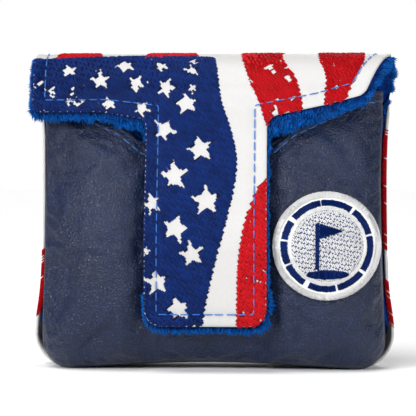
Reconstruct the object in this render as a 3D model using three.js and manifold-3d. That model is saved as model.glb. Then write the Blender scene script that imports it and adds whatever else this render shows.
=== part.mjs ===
// Padded cover for the head of a square mallet putter, closed by a T-shaped magnetic flap.
// Millimetres. +Z is up, the front faces -Y, and +X is the right-hand side seen from the front.
// The cover stands on its two bottom corners, and the origin is on the ground under its middle.

import * as THREE from 'three';
import { mergeVertices } from 'three/addons/utils/BufferGeometryUtils.js';
import Module from 'manifold-3d';

const wasm = await Module();
wasm.setup();
const { clamp, lerp, smoothstep } = THREE.MathUtils;

// Clearances
const layerGap = 0.3; // between any two layers that touch on the real cover
const mouthClearance = 1.4; // between the front panel and the flap's lining, which holds the topstitch

// Layers, from the outside in
const leatherThickness = 1.2;
const liningThickness = 4;
const fillThickness = 0.5; // embroidery
const threadRadius = 0.3;
const threadStep = 3.8; // between the sections of a thread's tube

// Pouch
const waistHalfWidth = 61.3;
const waistHeight = 70;
const footFlare = 2.7; // how much each side stands out at the base
const shoulderFlare = 1; // and at the mouth
const backOverhang = 1.2; // the back panel is this much wider on each side than the front one
const baseCornerRadius = 12;
const baseArch = 2.7; // how far the middle of the base is off the ground
const baseFlattening = 0.9; // how much of the rounded base is pressed flat
const frontDepth = 24;
const backDepth = 22;
const mouthDepth = 9;
const bellyHeight = 45;
const bellyRise = 30; // height over which the base rounds out to the full depth
const sideSquareness = 4;
const baseSquareness = 3;
const valleyDepth = 2.5; // how far the tongue presses into the front
const valleyFloorInset = 2; // from the tongue's edge in to where the valley's floor ends
const valleySlopeReach = 10; // from the tongue's edge out to where the valley ends
const taperPower = 1.2; // 1 would narrow the pouch evenly from its belly to its mouth
const seamToLining = 2; // at the mouth, from the side seams back to the back lining

// Fold over the top, which is half a tube
const foldHeight = 101.5; // of the tube's axis
const foldRadius = 13.5;
const foldOverhang = 3.7; // past the waist on each side
const hingeAngle = 45; // of each crease, from the level of the tube's axis
const backOpening = 10; // height over which the back panel flattens out towards the fold

// Mouth of the front panel
const notchDepth = 18.7; // below the fold's axis
const notchMargin = 2;
const notchStep = 6.7;
const notchStepRun = 7.8;
const notchShoulder = 4; // level stretch beside each side seam

// Flap
const tongueWidth = 43.5;
const tongueCentre = -1.75;
const tongueLength = 86; // below the fold's axis
const tongueCornerRadius = 7;
const flapLift = 7.5; // height over which the flap leaves the fold and comes to lie on the front
const armFlatness = 15; // the arms' ends round off as if the flap were this much wider on each side
const innerCornerRadius = 4;
const armDropLeft = 8;
const armDropRoot = 10;
const armDropRight = 2;
const armSlantRight = 10; // how much shorter the right arm is at its lower corner than at the top
const liningReach = 1.5; // how far the lining stands out past the leather
const stitchInset = 4.4; // topstitch to edge
const fillInset = 0.6; // embroidery to edge
const flapGridStep = 10; // between the columns of points that shape it

// Magnets
const magnetDiameter = 18;
const magnetThickness = 2;
const magnetClearance = 0.4;
const magnetAboveTip = 15;

// Badge
const badgeDiameter = 38.6;
const badgeHeight = 45.6;
const badgeClearance = 0.6;
const badgeBorderWidth = 2.4;
const badgeBorderHeight = 1.8;
const badgeBackingThickness = 0.8;
const badgeRingWidth = 4.4;
const badgeFillHeight = 0.6;
const flagstickHeight = 16;
const flagstickWidth = 1.3;
const pennantLength = 8;
const pennantHeight = 5.6;
const greenWidth = 15;
const greenHeight = 3.4;

// What follows from those sizes
const topCoverHalfWidth = waistHalfWidth + foldOverhang;
const tongueHalfWidth = tongueWidth / 2;
const tongueTip = foldHeight - tongueLength;
const stackThickness = leatherThickness + layerGap + liningThickness + mouthClearance;
const fillOuter = -layerGap - fillThickness;
const threadOnFill = fillOuter - layerGap - threadRadius;
const threadOnLeather = -layerGap - threadRadius;
const magnetInset = leatherThickness + 2 * layerGap;
const frontReach = frontDepth - valleyDepth + stackThickness - threadOnFill + threadRadius;
const backReach = backDepth + layerGap / 2 - fillOuter;
const seamY = (frontReach - backReach) / 2; // puts the origin under the middle of the whole depth
const gapDegrees = THREE.MathUtils.radToDeg(layerGap / 2 / foldRadius);
const leather = { outer: 0, inner: leatherThickness };
const lining = { outer: leatherThickness + layerGap, inner: leatherThickness + layerGap + liningThickness };
const fill = { outer: fillOuter, inner: -layerGap };
const seamSetback = foldRadius - lining.inner - seamToLining;

// Materials
function finish(color, roughness, metalness = 0) {
  return new THREE.MeshStandardMaterial({ color, roughness, metalness });
}

const navyLeather = finish(0x2d3a5c, 0.5);
const whiteLeather = finish(0xecebe8, 0.5);
const bluePlush = finish(0x0c3f8e, 1);
const navyThread = finish(0x10265f, 0.6);
const redThread = finish(0xb01822, 0.6);
const whiteThread = finish(0xf0f0ee, 0.6);
const blueThread = finish(0x6aa2dc, 0.6);
const steel = finish(0xb8babd, 0.3, 1);

// Solids

function toManifold(geometry) {
  const bare = geometry.clone();
  bare.deleteAttribute('normal');
  bare.deleteAttribute('uv');
  const merged = mergeVertices(bare, 1e-4);
  const vertProperties = new Float32Array(merged.attributes.position.array);
  const triVerts = new Uint32Array(merged.index.array);
  return new wasm.Manifold(new wasm.Mesh({ numProp: 3, vertProperties, triVerts }));
}

function toGeometry(manifold) {
  const { vertProperties, triVerts } = manifold.getMesh();
  const geometry = new THREE.BufferGeometry();
  geometry.setAttribute('position', new THREE.BufferAttribute(new Float32Array(vertProperties), 3));
  geometry.setIndex(new THREE.BufferAttribute(new Uint32Array(triVerts), 1));
  geometry.computeVertexNormals();
  return geometry;
}

function keepInside(geometry, shape) {
  return toGeometry(toManifold(geometry).intersect(toManifold(prism(shape))));
}

function cutAway(geometry, tool) {
  return toGeometry(toManifold(geometry).subtract(toManifold(tool)));
}

// A shape drawn as x to the right and z up, extruded through the whole depth of the cover.
function prism(shape) {
  const halfDepth = 2 * (frontReach + backDepth);
  const geometry = new THREE.ExtrudeGeometry(shape, { depth: 2 * halfDepth, bevelEnabled: false });
  geometry.translate(0, 0, -halfDepth);
  geometry.rotateX(Math.PI / 2);
  return geometry;
}

// A closed sheet between the skins at two insets. Both skins share one grid, so they stay parallel.
function sheet(columns, rows, pointAt, { outer, inner }) {
  const positions = [];
  for (const inset of [outer, inner]) {
    for (const column of columns) {
      for (const row of rows) positions.push(...pointAt(column, row, inset).toArray());
    }
  }
  const index = [];
  const at = (skin, i, j) => (skin * columns.length + i) * rows.length + j;
  const quad = (a, b, c, d) => index.push(a, b, c, a, c, d);
  const lastColumn = columns.length - 1;
  const lastRow = rows.length - 1;
  for (let i = 0; i < lastColumn; i += 1) {
    for (let j = 0; j < lastRow; j += 1) {
      quad(at(0, i, j), at(0, i + 1, j), at(0, i + 1, j + 1), at(0, i, j + 1));
      quad(at(1, i, j), at(1, i, j + 1), at(1, i + 1, j + 1), at(1, i + 1, j));
    }
    quad(at(0, i, 0), at(1, i, 0), at(1, i + 1, 0), at(0, i + 1, 0));
    quad(at(0, i, lastRow), at(0, i + 1, lastRow), at(1, i + 1, lastRow), at(1, i, lastRow));
  }
  for (let j = 0; j < lastRow; j += 1) {
    quad(at(0, 0, j), at(0, 0, j + 1), at(1, 0, j + 1), at(1, 0, j));
    quad(at(0, lastColumn, j), at(1, lastColumn, j), at(1, lastColumn, j + 1), at(0, lastColumn, j + 1));
  }
  const geometry = new THREE.BufferGeometry();
  geometry.setAttribute('position', new THREE.Float32BufferAttribute(positions, 3));
  geometry.setIndex(index);
  return facingOut(geometry);
}

// Turns a closed geometry's triangles round if they face inwards.
function facingOut(geometry) {
  const position = geometry.attributes.position;
  const index = geometry.index.array;
  const [a, b, c] = [new THREE.Vector3(), new THREE.Vector3(), new THREE.Vector3()];
  let volume = 0;
  for (let k = 0; k < index.length; k += 3) {
    a.fromBufferAttribute(position, index[k]);
    b.fromBufferAttribute(position, index[k + 1]);
    c.fromBufferAttribute(position, index[k + 2]);
    volume += a.dot(b.cross(c));
  }
  if (volume < 0) index.reverse();
  geometry.computeVertexNormals();
  return geometry;
}

function spread(count, place) {
  return Array.from({ length: count + 1 }, (_, k) => place(k / count));
}

// A round thread through points that lie on the cover.
function thread(points) {
  const path = new THREE.CatmullRomCurve3(points, false, 'centripetal');
  const section = new THREE.Shape().absarc(0, 0, threadRadius, 0, 2 * Math.PI);
  const steps = Math.ceil(path.getLength() / threadStep);
  return new THREE.ExtrudeGeometry(section, { steps, curveSegments: 5, extrudePath: path });
}

// Form of the pouch

// How full a panel is at a share of the way from its middle, 0, to its seam, 1 or -1.
function fullness(share, squareness) {
  return (1 - Math.abs(share) ** squareness) ** (1 / squareness);
}

function baseEdge(share) {
  const footShare = 1 - baseCornerRadius / (waistHalfWidth + footFlare);
  const past = Math.abs(share) - footShare;
  if (past < 0) return baseArch * (1 - (share / footShare) ** 2);
  const run = Math.min((past / (1 - footShare)) * baseCornerRadius, baseCornerRadius);
  return baseCornerRadius - Math.sqrt(baseCornerRadius ** 2 - run ** 2);
}

function pouchHalfWidth(z) {
  if (z < waistHeight) return waistHalfWidth + footFlare * (1 - z / waistHeight) ** 2;
  return waistHalfWidth + shoulderFlare * smoothstep(z, waistHeight, foldHeight);
}

function backHalfWidth(z) {
  const atTop = smoothstep(z, foldHeight - notchDepth, foldHeight);
  return lerp(pouchHalfWidth(z) + backOverhang, topCoverHalfWidth, atTop);
}

function mouthEdge(x) {
  const start = tongueHalfWidth + notchMargin;
  const across = Math.abs(x - tongueCentre);
  const stepTop = start + notchStepRun;
  const corner = waistHalfWidth - notchShoulder;
  const steep = clamp((across - start) / notchStepRun, 0, 1);
  const gentle = clamp((across - stepTop) / (corner - stepTop), 0, 1);
  return foldHeight - notchDepth + notchStep * steep + (notchDepth - notchStep) * gentle;
}

function taper(z) {
  return clamp((z - bellyHeight) / (foldHeight - bellyHeight), 0, 1) ** taperPower;
}

function tongueValley(x, z) {
  const across = Math.abs(x - tongueCentre);
  const floor = tongueHalfWidth - valleyFloorInset;
  const beside = 1 - smoothstep(across, floor, tongueHalfWidth + valleySlopeReach);
  return valleyDepth * beside * (1 - smoothstep(z, foldHeight - notchDepth, foldHeight));
}

function frontFullDepth(x, z) {
  return lerp(frontDepth, mouthDepth, taper(z)) - tongueValley(x, z);
}

function backFullDepth(z) {
  return lerp(backDepth, foldRadius, taper(z));
}

function seamLine(z) {
  return seamSetback * smoothstep(z, waistHeight, foldHeight);
}

// A rise from 0 to 1 runs from the base to the topstitch's level, and from 1 to 2 on to the top edge.
function pouchPoint(side, share, rise, inset) {
  const isFront = side < 0;
  const low = baseEdge(share) + inset;
  const high = isFront ? mouthEdge(share * waistHalfWidth) : foldHeight;
  const stitchLevel = high - stitchInset;
  const z = rise < 1 ? lerp(low, stitchLevel, rise) : lerp(stitchLevel, high, rise - 1);
  const atTop = isFront ? 0 : smoothstep(z, foldHeight - backOpening, foldHeight);
  const halfWidth = (isFront ? pouchHalfWidth(z) : backHalfWidth(z)) - inset * (1 - atTop);
  const x = share * halfWidth;
  const fromBase = clamp((z - low) / bellyRise, 0, 1);
  const sideFullness = lerp(fullness(share, sideSquareness), 1, atTop);
  const full = sideFullness * fullness(1 - fromBase, baseSquareness);
  const depth = isFront ? frontFullDepth(x, z) : backFullDepth(z);
  const seam = seamLine(z);
  const fromSeam = (layerGap / 2) * (1 - atTop) + (depth - side * seam - inset) * full;
  const lowered = z - baseFlattening * Math.max(1 - rise, 0);
  return new THREE.Vector3(x, seamY + seam + side * fromSeam, Math.max(lowered, inset));
}

// Form of the fold: an angle of 0 is at its back and 180 at its front.
function foldPoint(x, degrees, inset) {
  const angle = THREE.MathUtils.degToRad(degrees);
  const radius = foldRadius - inset;
  return new THREE.Vector3(x, seamY + radius * Math.cos(angle), foldHeight + radius * Math.sin(angle));
}

const backCrease = hingeAngle;
const frontCrease = 180 - hingeAngle;

function frontPoint(share, rise, inset) {
  return pouchPoint(-1, share, rise, inset);
}

// A rise from 0 to 2 is on the back of the pouch, and from 2 to 3 on the fold up to the back crease.
function backPoint(share, rise, inset) {
  if (rise <= 2) return pouchPoint(1, share, rise, inset);
  return foldPoint(share * topCoverHalfWidth, (rise - 2) * (backCrease - gapDegrees), inset);
}

function crownPoint(x, along, inset) {
  return foldPoint(x, lerp(backCrease + gapDegrees, frontCrease - gapDegrees, along), inset);
}

// The flap lies on the front panel, with room for both linings and the mouth's topstitch.
function flapDepth(x, z) {
  const flat = fullness(x / (topCoverHalfWidth + armFlatness), sideSquareness);
  const base = fullness(1 - clamp(z / bellyRise, 0, 1), baseSquareness);
  const lying = frontFullDepth(x, z) * flat * base + stackThickness;
  const leaving = clamp((foldHeight - z) / flapLift, 0, 1);
  return lerp(foldRadius, lying, leaving * (2 - leaving));
}

function flapSurface(x, z, inset) {
  return new THREE.Vector3(x, seamY - flapDepth(x, z) + inset, z);
}

// A run from 0 to 1 is on the fold below the front crease, and from 1 to 2 down to below the tip.
function flapPoint(x, run, inset) {
  if (run <= 1) return foldPoint(x, lerp(frontCrease + gapDegrees, 180, run), inset);
  return flapSurface(x, foldHeight - (run - 1) * (tongueLength + 2 * liningReach), inset);
}

// Grids
const acrossPanel = spread(18, (k) => Math.sin((k - 0.5) * Math.PI));
const upPanel = [0, 0.004, ...spread(10, (k) => lerp(0.02, 1, k ** 1.5)), 2];
const upBack = [...upPanel, 7 / 3, 8 / 3, 3];
const gridHalfWidth = topCoverHalfWidth + 2 * liningReach;
const acrossFlap = spread(Math.ceil((2 * gridHalfWidth) / flapGridStep), (k) => (2 * k - 1) * gridHalfWidth);
const downFlap = [0, 1 / 2, ...spread(13, (k) => 1 + k ** 1.4)];
const overCrown = spread(5, (k) => k);

// Flap's outline, from the left end of the fold round the tongue to the right end
function drawFlapEdge(path, margin) {
  const above = foldHeight + foldRadius + 1;
  const left = tongueCentre - tongueHalfWidth - margin;
  const right = tongueCentre + tongueHalfWidth + margin;
  const end = topCoverHalfWidth + margin;
  const root = foldHeight - armDropRoot - margin;
  const tip = tongueTip - margin;
  const r = tongueCornerRadius;
  const c = innerCornerRadius;
  path.moveTo(-end, above);
  path.lineTo(-end, foldHeight - armDropLeft - margin);
  path.lineTo(left - c, root);
  path.quadraticCurveTo(left, root, left, root - c);
  path.lineTo(left, tip + r);
  path.quadraticCurveTo(left, tip, left + r, tip);
  path.lineTo(right - r, tip);
  path.quadraticCurveTo(right, tip, right, tip + r);
  path.lineTo(right, root - c);
  path.quadraticCurveTo(right, root, right + c, root);
  path.lineTo(end - armSlantRight, foldHeight - armDropRight - margin);
  path.lineTo(end, above);
  return path;
}

function flapOutline(margin) {
  const shape = drawFlapEdge(new THREE.Shape(), margin);
  shape.closePath();
  return shape;
}

// A band between two edges, each a list of points from the top down: x across and drop below the fold.
function band(leftEdge, rightEdge) {
  const down = leftEdge.map(([x, drop]) => new THREE.Vector2(x, foldHeight - drop));
  const up = rightEdge.map(([x, drop]) => new THREE.Vector2(x, foldHeight - drop)).reverse();
  const shape = new THREE.Shape();
  shape.moveTo(down[0].x, down[0].y);
  shape.splineThru(down.slice(1));
  shape.lineTo(up[0].x, up[0].y);
  shape.splineThru(up.slice(1));
  shape.closePath();
  return shape;
}

// Assembly
const cover = new THREE.Group();
const badge = new THREE.Group();
cover.add(badge);

function add(name, geometry, material, parent = cover) {
  const mesh = new THREE.Mesh(geometry, material);
  mesh.name = name;
  parent.add(mesh);
  return mesh;
}

// Magnets: each lies along its leather, in a round pocket in the lining that is open to the leather
const magnetX = tongueCentre;
const magnetZ = tongueTip + magnetAboveTip;

// A disc between two depths under a leather whose outer skin is at y = skinAt(z).
function discUnder(skinAt, diameter, from, to) {
  const geometry = new THREE.CylinderGeometry(diameter / 2, diameter / 2, to - from, 32);
  geometry.translate(0, (from + to) / 2, 0);
  const above = skinAt(magnetZ + magnetDiameter / 2);
  const below = skinAt(magnetZ - magnetDiameter / 2);
  geometry.rotateX(-Math.atan2(above - below, magnetDiameter));
  geometry.translate(magnetX, skinAt(magnetZ), magnetZ);
  return geometry;
}

function magnetUnder(skinAt) {
  return discUnder(skinAt, magnetDiameter, magnetInset, magnetInset + magnetThickness);
}

function magnetPocket(skinAt) {
  const depth = magnetInset + magnetThickness + magnetClearance;
  return discUnder(skinAt, magnetDiameter + 2 * magnetClearance, 0, depth);
}

function tongueSkin(z) {
  return seamY - flapDepth(magnetX, z);
}

function panelSkin(z) {
  return seamY - layerGap / 2 - frontFullDepth(magnetX, z);
}

// Pouch
add('front_panel', sheet(acrossPanel, upPanel, frontPoint, leather), navyLeather);
add('back_panel', sheet(acrossPanel, upBack, backPoint, leather), whiteLeather);
const frontLining = sheet(acrossPanel, upPanel, frontPoint, lining);
add('front_lining', cutAway(frontLining, magnetPocket(panelSkin)), bluePlush);
add('back_lining', sheet(acrossPanel, upBack, backPoint, lining), bluePlush);
add('front_magnet', magnetUnder(panelSkin), steel);
const acrossMouth = acrossPanel.filter((share) => Math.abs(share) < 0.95);
add('mouth_topstitch', thread(acrossMouth.map((share) => frontPoint(share, 1, threadOnLeather))), blueThread);

// Embroidered stripes that run up the back and over the top: edges as shares of the half width
const stripes = [
  { name: 'outer_left', from: -0.86, to: -0.64 },
  { name: 'inner_left', from: -0.36, to: -0.1 },
  { name: 'inner_right', from: 0.17, to: 0.4 },
  { name: 'outer_right', from: 0.6, to: 0.84 },
];
const stripeWave = 0.04; // as a share of the half width
const upStripe = upBack.filter((rise) => rise > 0.1);

for (const { name, from, to } of stripes) {
  const acrossStripe = spread(4, (k) => lerp(from, to, k));
  const wave = (rise) => stripeWave * Math.sin(Math.PI * (1 - Math.min(rise, 1)) * 2);
  const onBack = (share, rise, inset) => backPoint(share + wave(rise), rise, inset);
  const onCrown = (share, along, inset) => crownPoint(share * topCoverHalfWidth, along, inset);
  add(`back_stripe_${name}`, sheet(acrossStripe, upStripe, onBack, fill), redThread);
  add(`crown_stripe_${name}`, sheet(acrossStripe, overCrown, onCrown, fill), redThread);
}

// Crown: the strip of the flap between its two creases
const acrossCrown = (halfWidth) => spread(6, (k) => (2 * k - 1) * halfWidth);
add('crown_cover', sheet(acrossCrown(topCoverHalfWidth), overCrown, crownPoint, leather), whiteLeather);
const acrossCrownLining = acrossCrown(topCoverHalfWidth + liningReach);
add('crown_lining', sheet(acrossCrownLining, overCrown, crownPoint, lining), bluePlush);

// Flap
const flapLeather = sheet(acrossFlap, downFlap, flapPoint, leather);
add('flap_cover', keepInside(flapLeather, flapOutline(0)), whiteLeather);
const flapLining = keepInside(sheet(acrossFlap, downFlap, flapPoint, lining), flapOutline(liningReach));
add('flap_lining', cutAway(flapLining, magnetPocket(tongueSkin)), bluePlush);
add('flap_magnet', magnetUnder(tongueSkin), steel);

// A point of the stitch line, which runs up over the fold and stops short of the front crease.
function flapStitchPoint({ x, y }) {
  if (y < foldHeight) return flapSurface(x, y, threadOnFill);
  const risen = THREE.MathUtils.radToDeg(Math.asin((y - foldHeight) / foldRadius));
  return foldPoint(x, 180 - risen, threadOnFill);
}

function flapStitchPoints() {
  const edge = drawFlapEdge(new THREE.Path(), -stitchInset);
  const points = edge.getSpacedPoints(Math.ceil(edge.getLength() / threadStep));
  const crease = foldHeight + foldRadius * Math.sin(THREE.MathUtils.degToRad(hingeAngle));
  return points.filter((point) => point.y < crease - 2 * threadRadius).map(flapStitchPoint);
}

add('flap_topstitch', thread(flapStitchPoints()), blueThread);

// Embroidery on the flap. Edges across the tongue are shares of its half width.
const onTongue = (share, drop) => [tongueCentre + share * tongueHalfWidth, drop];
const onArm = (share, drop) => [share * topCoverHalfWidth, drop];
const beyond = 2 * topCoverHalfWidth;
const cantonEdge = [
  onTongue(0.11, -10),
  onTongue(0.22, 3.5),
  onTongue(0.47, 26.5),
  onTongue(0.25, 54),
  onTongue(-0.03, 88),
];
const tongueStripeEdge = [
  onTongue(1.3, 22),
  onTongue(0.92, 34),
  onTongue(0.66, 50),
  onTongue(0.52, 66),
  onTongue(0.5, 88),
];
const armStripeInnerEdges = [
  [onArm(0.17, -12), onArm(0.25, 2), onArm(0.31, 14)],
  [onArm(0.38, -12), onArm(0.48, -4), onArm(0.5, 14)],
];
const armStripeOuterEdges = [
  [onArm(0.6, -12), onArm(0.63, -5), onArm(0.61, 14)],
  [onArm(0.84, -12), onArm(0.78, -3), onArm(0.74, 14)],
];
const flapFill = keepInside(sheet(acrossFlap, downFlap, flapPoint, fill), flapOutline(-fillInset));
const cantonShape = band([[-beyond, -10], [-beyond, 88]], cantonEdge);
const tongueStripeShape = band(tongueStripeEdge, [onTongue(1.4, 22), onTongue(1.4, 88)]);
add('canton_embroidery', keepInside(flapFill, cantonShape), navyThread);
add('tongue_stripe_embroidery', keepInside(flapFill, tongueStripeShape), redThread);
add('arm_stripe_inner_embroidery', keepInside(flapFill, band(...armStripeInnerEdges)), redThread);
add('arm_stripe_outer_embroidery', keepInside(flapFill, band(...armStripeOuterEdges)), redThread);

// Badge: a stiff round patch, flat on the front panel beside the tongue
const badgeRadius = badgeDiameter / 2;
const badgeX = tongueCentre + tongueHalfWidth + liningReach + badgeClearance + badgeRadius;
const badgeFieldRadius = badgeRadius - badgeBorderWidth - badgeRingWidth - 2 * layerGap;

function badgeSeat(x, z) {
  const share = x / pouchHalfWidth(z);
  const depth = frontFullDepth(x, z) * fullness(share, sideSquareness);
  return new THREE.Vector3(x, seamY - layerGap / 2 - depth, z);
}

const seat = badgeSeat(badgeX, badgeHeight);
const slope = badgeSeat(badgeX + 1, badgeHeight).sub(badgeSeat(badgeX - 1, badgeHeight));
const outward = new THREE.Vector3(slope.y, -slope.x, 0).normalize();
badge.position.copy(seat).addScaledVector(outward, layerGap);
badge.rotation.z = Math.atan2(outward.x, -outward.y);

// In the badge's own frame, its face is towards -Y and its back is at y = 0.
function badgeTurned(profile) {
  const points = profile.map(([r, out]) => new THREE.Vector2(r, out));
  return new THREE.LatheGeometry(points, 40).rotateX(Math.PI);
}

function badgeDisc(radius, from, to) {
  return badgeTurned([[0, from], [radius, from], [radius, to], [0, to]]);
}

function badgeRing(inner, outer, from, to) {
  return badgeTurned([[inner, from], [outer, from], [outer, to], [inner, to], [inner, from]]);
}

function badgeMotif(shape, from, to) {
  const settings = { depth: to - from, curveSegments: 10, bevelEnabled: false };
  const geometry = new THREE.ExtrudeGeometry(shape, settings);
  geometry.translate(0, 0, from);
  return geometry.rotateX(Math.PI / 2);
}

const borderInner = badgeRadius - badgeBorderWidth;
const fieldFrom = badgeBackingThickness + layerGap;
const fieldTo = fieldFrom + badgeFillHeight;
const motifFrom = fieldTo + layerGap;
const motifTo = motifFrom + badgeFillHeight;
add('badge_backing', badgeDisc(borderInner - layerGap, 0, badgeBackingThickness), whiteThread, badge);
add('badge_border', badgeRing(borderInner, badgeRadius, 0, badgeBorderHeight), whiteThread, badge);
const ringInner = badgeFieldRadius + layerGap;
add('badge_ring', badgeRing(ringInner, borderInner - layerGap, fieldFrom, fieldTo), navyThread, badge);
add('badge_field', badgeDisc(badgeFieldRadius, fieldFrom, fieldTo), whiteThread, badge);

// Motif: a plain flagstick with its pennant, over a patch of green
const stickFoot = -flagstickHeight / 2;
const stickLeft = -pennantLength / 2;
const stick = new THREE.Shape();
stick.moveTo(stickLeft, stickFoot);
stick.lineTo(stickLeft + flagstickWidth, stickFoot);
stick.lineTo(stickLeft + flagstickWidth, stickFoot + flagstickHeight);
stick.lineTo(stickLeft, stickFoot + flagstickHeight);
const pennant = new THREE.Shape();
const pennantLeft = stickLeft + flagstickWidth + layerGap;
const pennantTop = stickFoot + flagstickHeight;
pennant.moveTo(pennantLeft, pennantTop);
pennant.lineTo(pennantLeft, pennantTop - pennantHeight);
pennant.lineTo(pennantLeft + pennantLength, pennantTop - pennantHeight / 2);
const green = new THREE.Shape();
green.absellipse(0, stickFoot - layerGap - greenHeight / 2, greenWidth / 2, greenHeight / 2, 0, 2 * Math.PI);
add('badge_flagstick', badgeMotif(stick, motifFrom, motifTo), navyThread, badge);
add('badge_pennant', badgeMotif(pennant, motifFrom, motifTo), navyThread, badge);
add('badge_green', badgeMotif(green, motifFrom, motifTo), navyThread, badge);

export default cover;
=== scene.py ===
"""Padded cover for the head of a square mallet putter, closed by a T-shaped magnetic flap.

The front faces -Y and +Z is up. Sizes are in millimetres until a piece is made, which turns them to metres.
"""

import math

import bpy
import numpy as np
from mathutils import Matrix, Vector
from mathutils.geometry import delaunay_2d_cdt


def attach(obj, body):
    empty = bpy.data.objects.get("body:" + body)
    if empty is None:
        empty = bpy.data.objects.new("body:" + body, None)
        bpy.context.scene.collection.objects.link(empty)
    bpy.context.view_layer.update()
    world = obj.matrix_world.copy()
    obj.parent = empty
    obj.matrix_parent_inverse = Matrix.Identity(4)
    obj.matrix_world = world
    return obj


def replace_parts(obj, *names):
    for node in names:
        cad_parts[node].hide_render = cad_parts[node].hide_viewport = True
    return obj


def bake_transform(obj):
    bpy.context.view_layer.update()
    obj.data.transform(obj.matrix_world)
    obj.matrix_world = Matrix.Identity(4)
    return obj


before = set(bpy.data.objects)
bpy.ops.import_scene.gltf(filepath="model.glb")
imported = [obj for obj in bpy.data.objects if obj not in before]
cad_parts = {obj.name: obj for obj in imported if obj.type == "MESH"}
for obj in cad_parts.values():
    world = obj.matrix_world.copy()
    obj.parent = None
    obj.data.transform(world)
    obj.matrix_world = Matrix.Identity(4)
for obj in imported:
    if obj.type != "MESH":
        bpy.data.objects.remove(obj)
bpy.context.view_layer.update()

MM = 0.001

# Layers and clearances
LAYER_GAP = 0.3
MOUTH_CLEARANCE = 1.4
LEATHER_THICKNESS = 1.2
LINING_THICKNESS = 4
FILL_THICKNESS = 0.5
THREAD_RADIUS = 0.3
VISIBLE_THREAD_RADIUS = 0.19
EDGE_ROUNDING = 0.45

# Pouch
WAIST_HALF_WIDTH = 61.3
WAIST_HEIGHT = 70
FOOT_FLARE = 2.7
SHOULDER_FLARE = 1
BACK_OVERHANG = 1.2
BACK_BULGE = 0.9  # how much further the stuffing pushes the back's sides out
LOW_BULGE = 1.3  # and how much more it does near the base
LOW_BULGE_HEIGHT = 15
BASE_CORNER_RADIUS = 12
BASE_ARCH = 2.7
BASE_FLATTENING = 0.9
FRONT_DEPTH = 24
BACK_DEPTH = 22
MOUTH_DEPTH = 9
BELLY_HEIGHT = 45
BELLY_RISE = 30
SIDE_SQUARENESS = 4
BASE_SQUARENESS = 3
VALLEY_DEPTH = 2.5
VALLEY_FLOOR_INSET = 2
VALLEY_SLOPE_REACH = 10
TAPER_POWER = 1.2
SEAM_TO_LINING = 2

# Fold over the top
FOLD_HEIGHT = 101.5
FOLD_RADIUS = 13.5
FOLD_OVERHANG = 3.7
BACK_OPENING = 10

# Mouth of the front panel
NOTCH_DEPTH = 18.7
NOTCH_MARGIN = 2
NOTCH_STEP = 6.7
NOTCH_STEP_RUN = 7.8
NOTCH_SHOULDER = 4

# Flap
TONGUE_WIDTH = 43.5
TONGUE_CENTRE = -1.75
TONGUE_LENGTH = 86
TONGUE_CORNER_RADIUS = 7
INNER_CORNER_RADIUS = 4
FLAP_LIFT = 7.5
ARM_FLATNESS = 15
ARM_DROP_LEFT = 8
ARM_DROP_ROOT = 10
ARM_DROP_RIGHT = 2
ARM_SLANT_RIGHT = 10
TIP_LIFT = 1.6  # how much shorter the leather lies than its solid, where it curls at the tip
LINING_REACH = 1.5
STITCH_INSET = 4.4
FILL_INSET = 0.05

# Badge
BADGE_DIAMETER = 38.6
BADGE_HEIGHT = 45.6
BADGE_CLEARANCE = 0.6
BADGE_BORDER_WIDTH = 2.4
BADGE_RING_WIDTH = 4.4
BADGE_BEND_SHARE = 0.88  # of the panel's half width: from here to the side the badge runs straight
BADGE_SIDES = 72
SATIN_RING_PITCH = 0.42
SATIN_PITCH = 0.4

# Threads
THREAD_PITCH = 0.74
BACK_THREAD_PITCH = 0.8
THREAD_SLANT = -49  # degrees from level, of the embroidery's rows
FILL_STITCH = 3.8
FILL_HEIGHT = 0.42
UNDERLAY_SLANT = 38
UNDERLAY_STITCH = 2.6
TOPSTITCH_LENGTH = 3.2
TOPSTITCH_PITCH = 4
STRAND_RADIUS = 0.23
STRAND_LENGTH = 2.2
TUFT_SIZE = 5.5
PILE = {  # how long the strands are at each place
    "front_edge": 1.4,
    "front_face": 1.3,
    "back_edge": 1.9,
    "back_face": 1.6,
    "tongue_side": 0.95,
    "arm_end": 1.5,
    "flap_under": 1.35,
    "flap_shown": 1.9,
}

# Swells, creases and sunk stitch lines of the padded leather
LEATHER_ROUNDING = 0.3
FLAP_ROUNDING = 0.35
FLAP_LINING_ROUNDING = 0.9
PLUSH_ROUNDING = 0.8
SWELL = 0.35
CREASE = 0.12
LINING_SWELL = 0.25
MOUTH_GROOVE = 0.3
FLAP_GROOVE = 0.34
FLAP_SWELL = 0.2
UNDER_STITCH = 1.3  # how far below a stitch the point lies that gives its way into the leather

# What follows from those sizes
TOP_HALF_WIDTH = WAIST_HALF_WIDTH + FOLD_OVERHANG
TONGUE_HALF_WIDTH = TONGUE_WIDTH / 2
TONGUE_TIP = FOLD_HEIGHT - TONGUE_LENGTH
STACK = LEATHER_THICKNESS + LAYER_GAP + LINING_THICKNESS + MOUTH_CLEARANCE
THREAD_ON_FILL = -2 * LAYER_GAP - FILL_THICKNESS - THREAD_RADIUS
FRONT_REACH = FRONT_DEPTH - VALLEY_DEPTH + STACK - THREAD_ON_FILL + THREAD_RADIUS
BACK_REACH = BACK_DEPTH + 1.5 * LAYER_GAP + FILL_THICKNESS
SEAM_Y = (FRONT_REACH - BACK_REACH) / 2
LINING_OUTER = LEATHER_THICKNESS + LAYER_GAP
LINING_INNER = LINING_OUTER + LINING_THICKNESS
SEAM_SETBACK = FOLD_RADIUS - LINING_INNER - SEAM_TO_LINING
FOLD_TOP = FOLD_HEIGHT + FOLD_RADIUS * math.pi / 2  # along the leather, at the top of the fold


# ---------------------------------------------------------------- form of the cover


def lerp(a, b, t):
    return a + (b - a) * t


def smoothstep(value, low, high):
    t = np.clip((value - low) / (high - low), 0, 1)
    return t * t * (3 - 2 * t)


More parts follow.
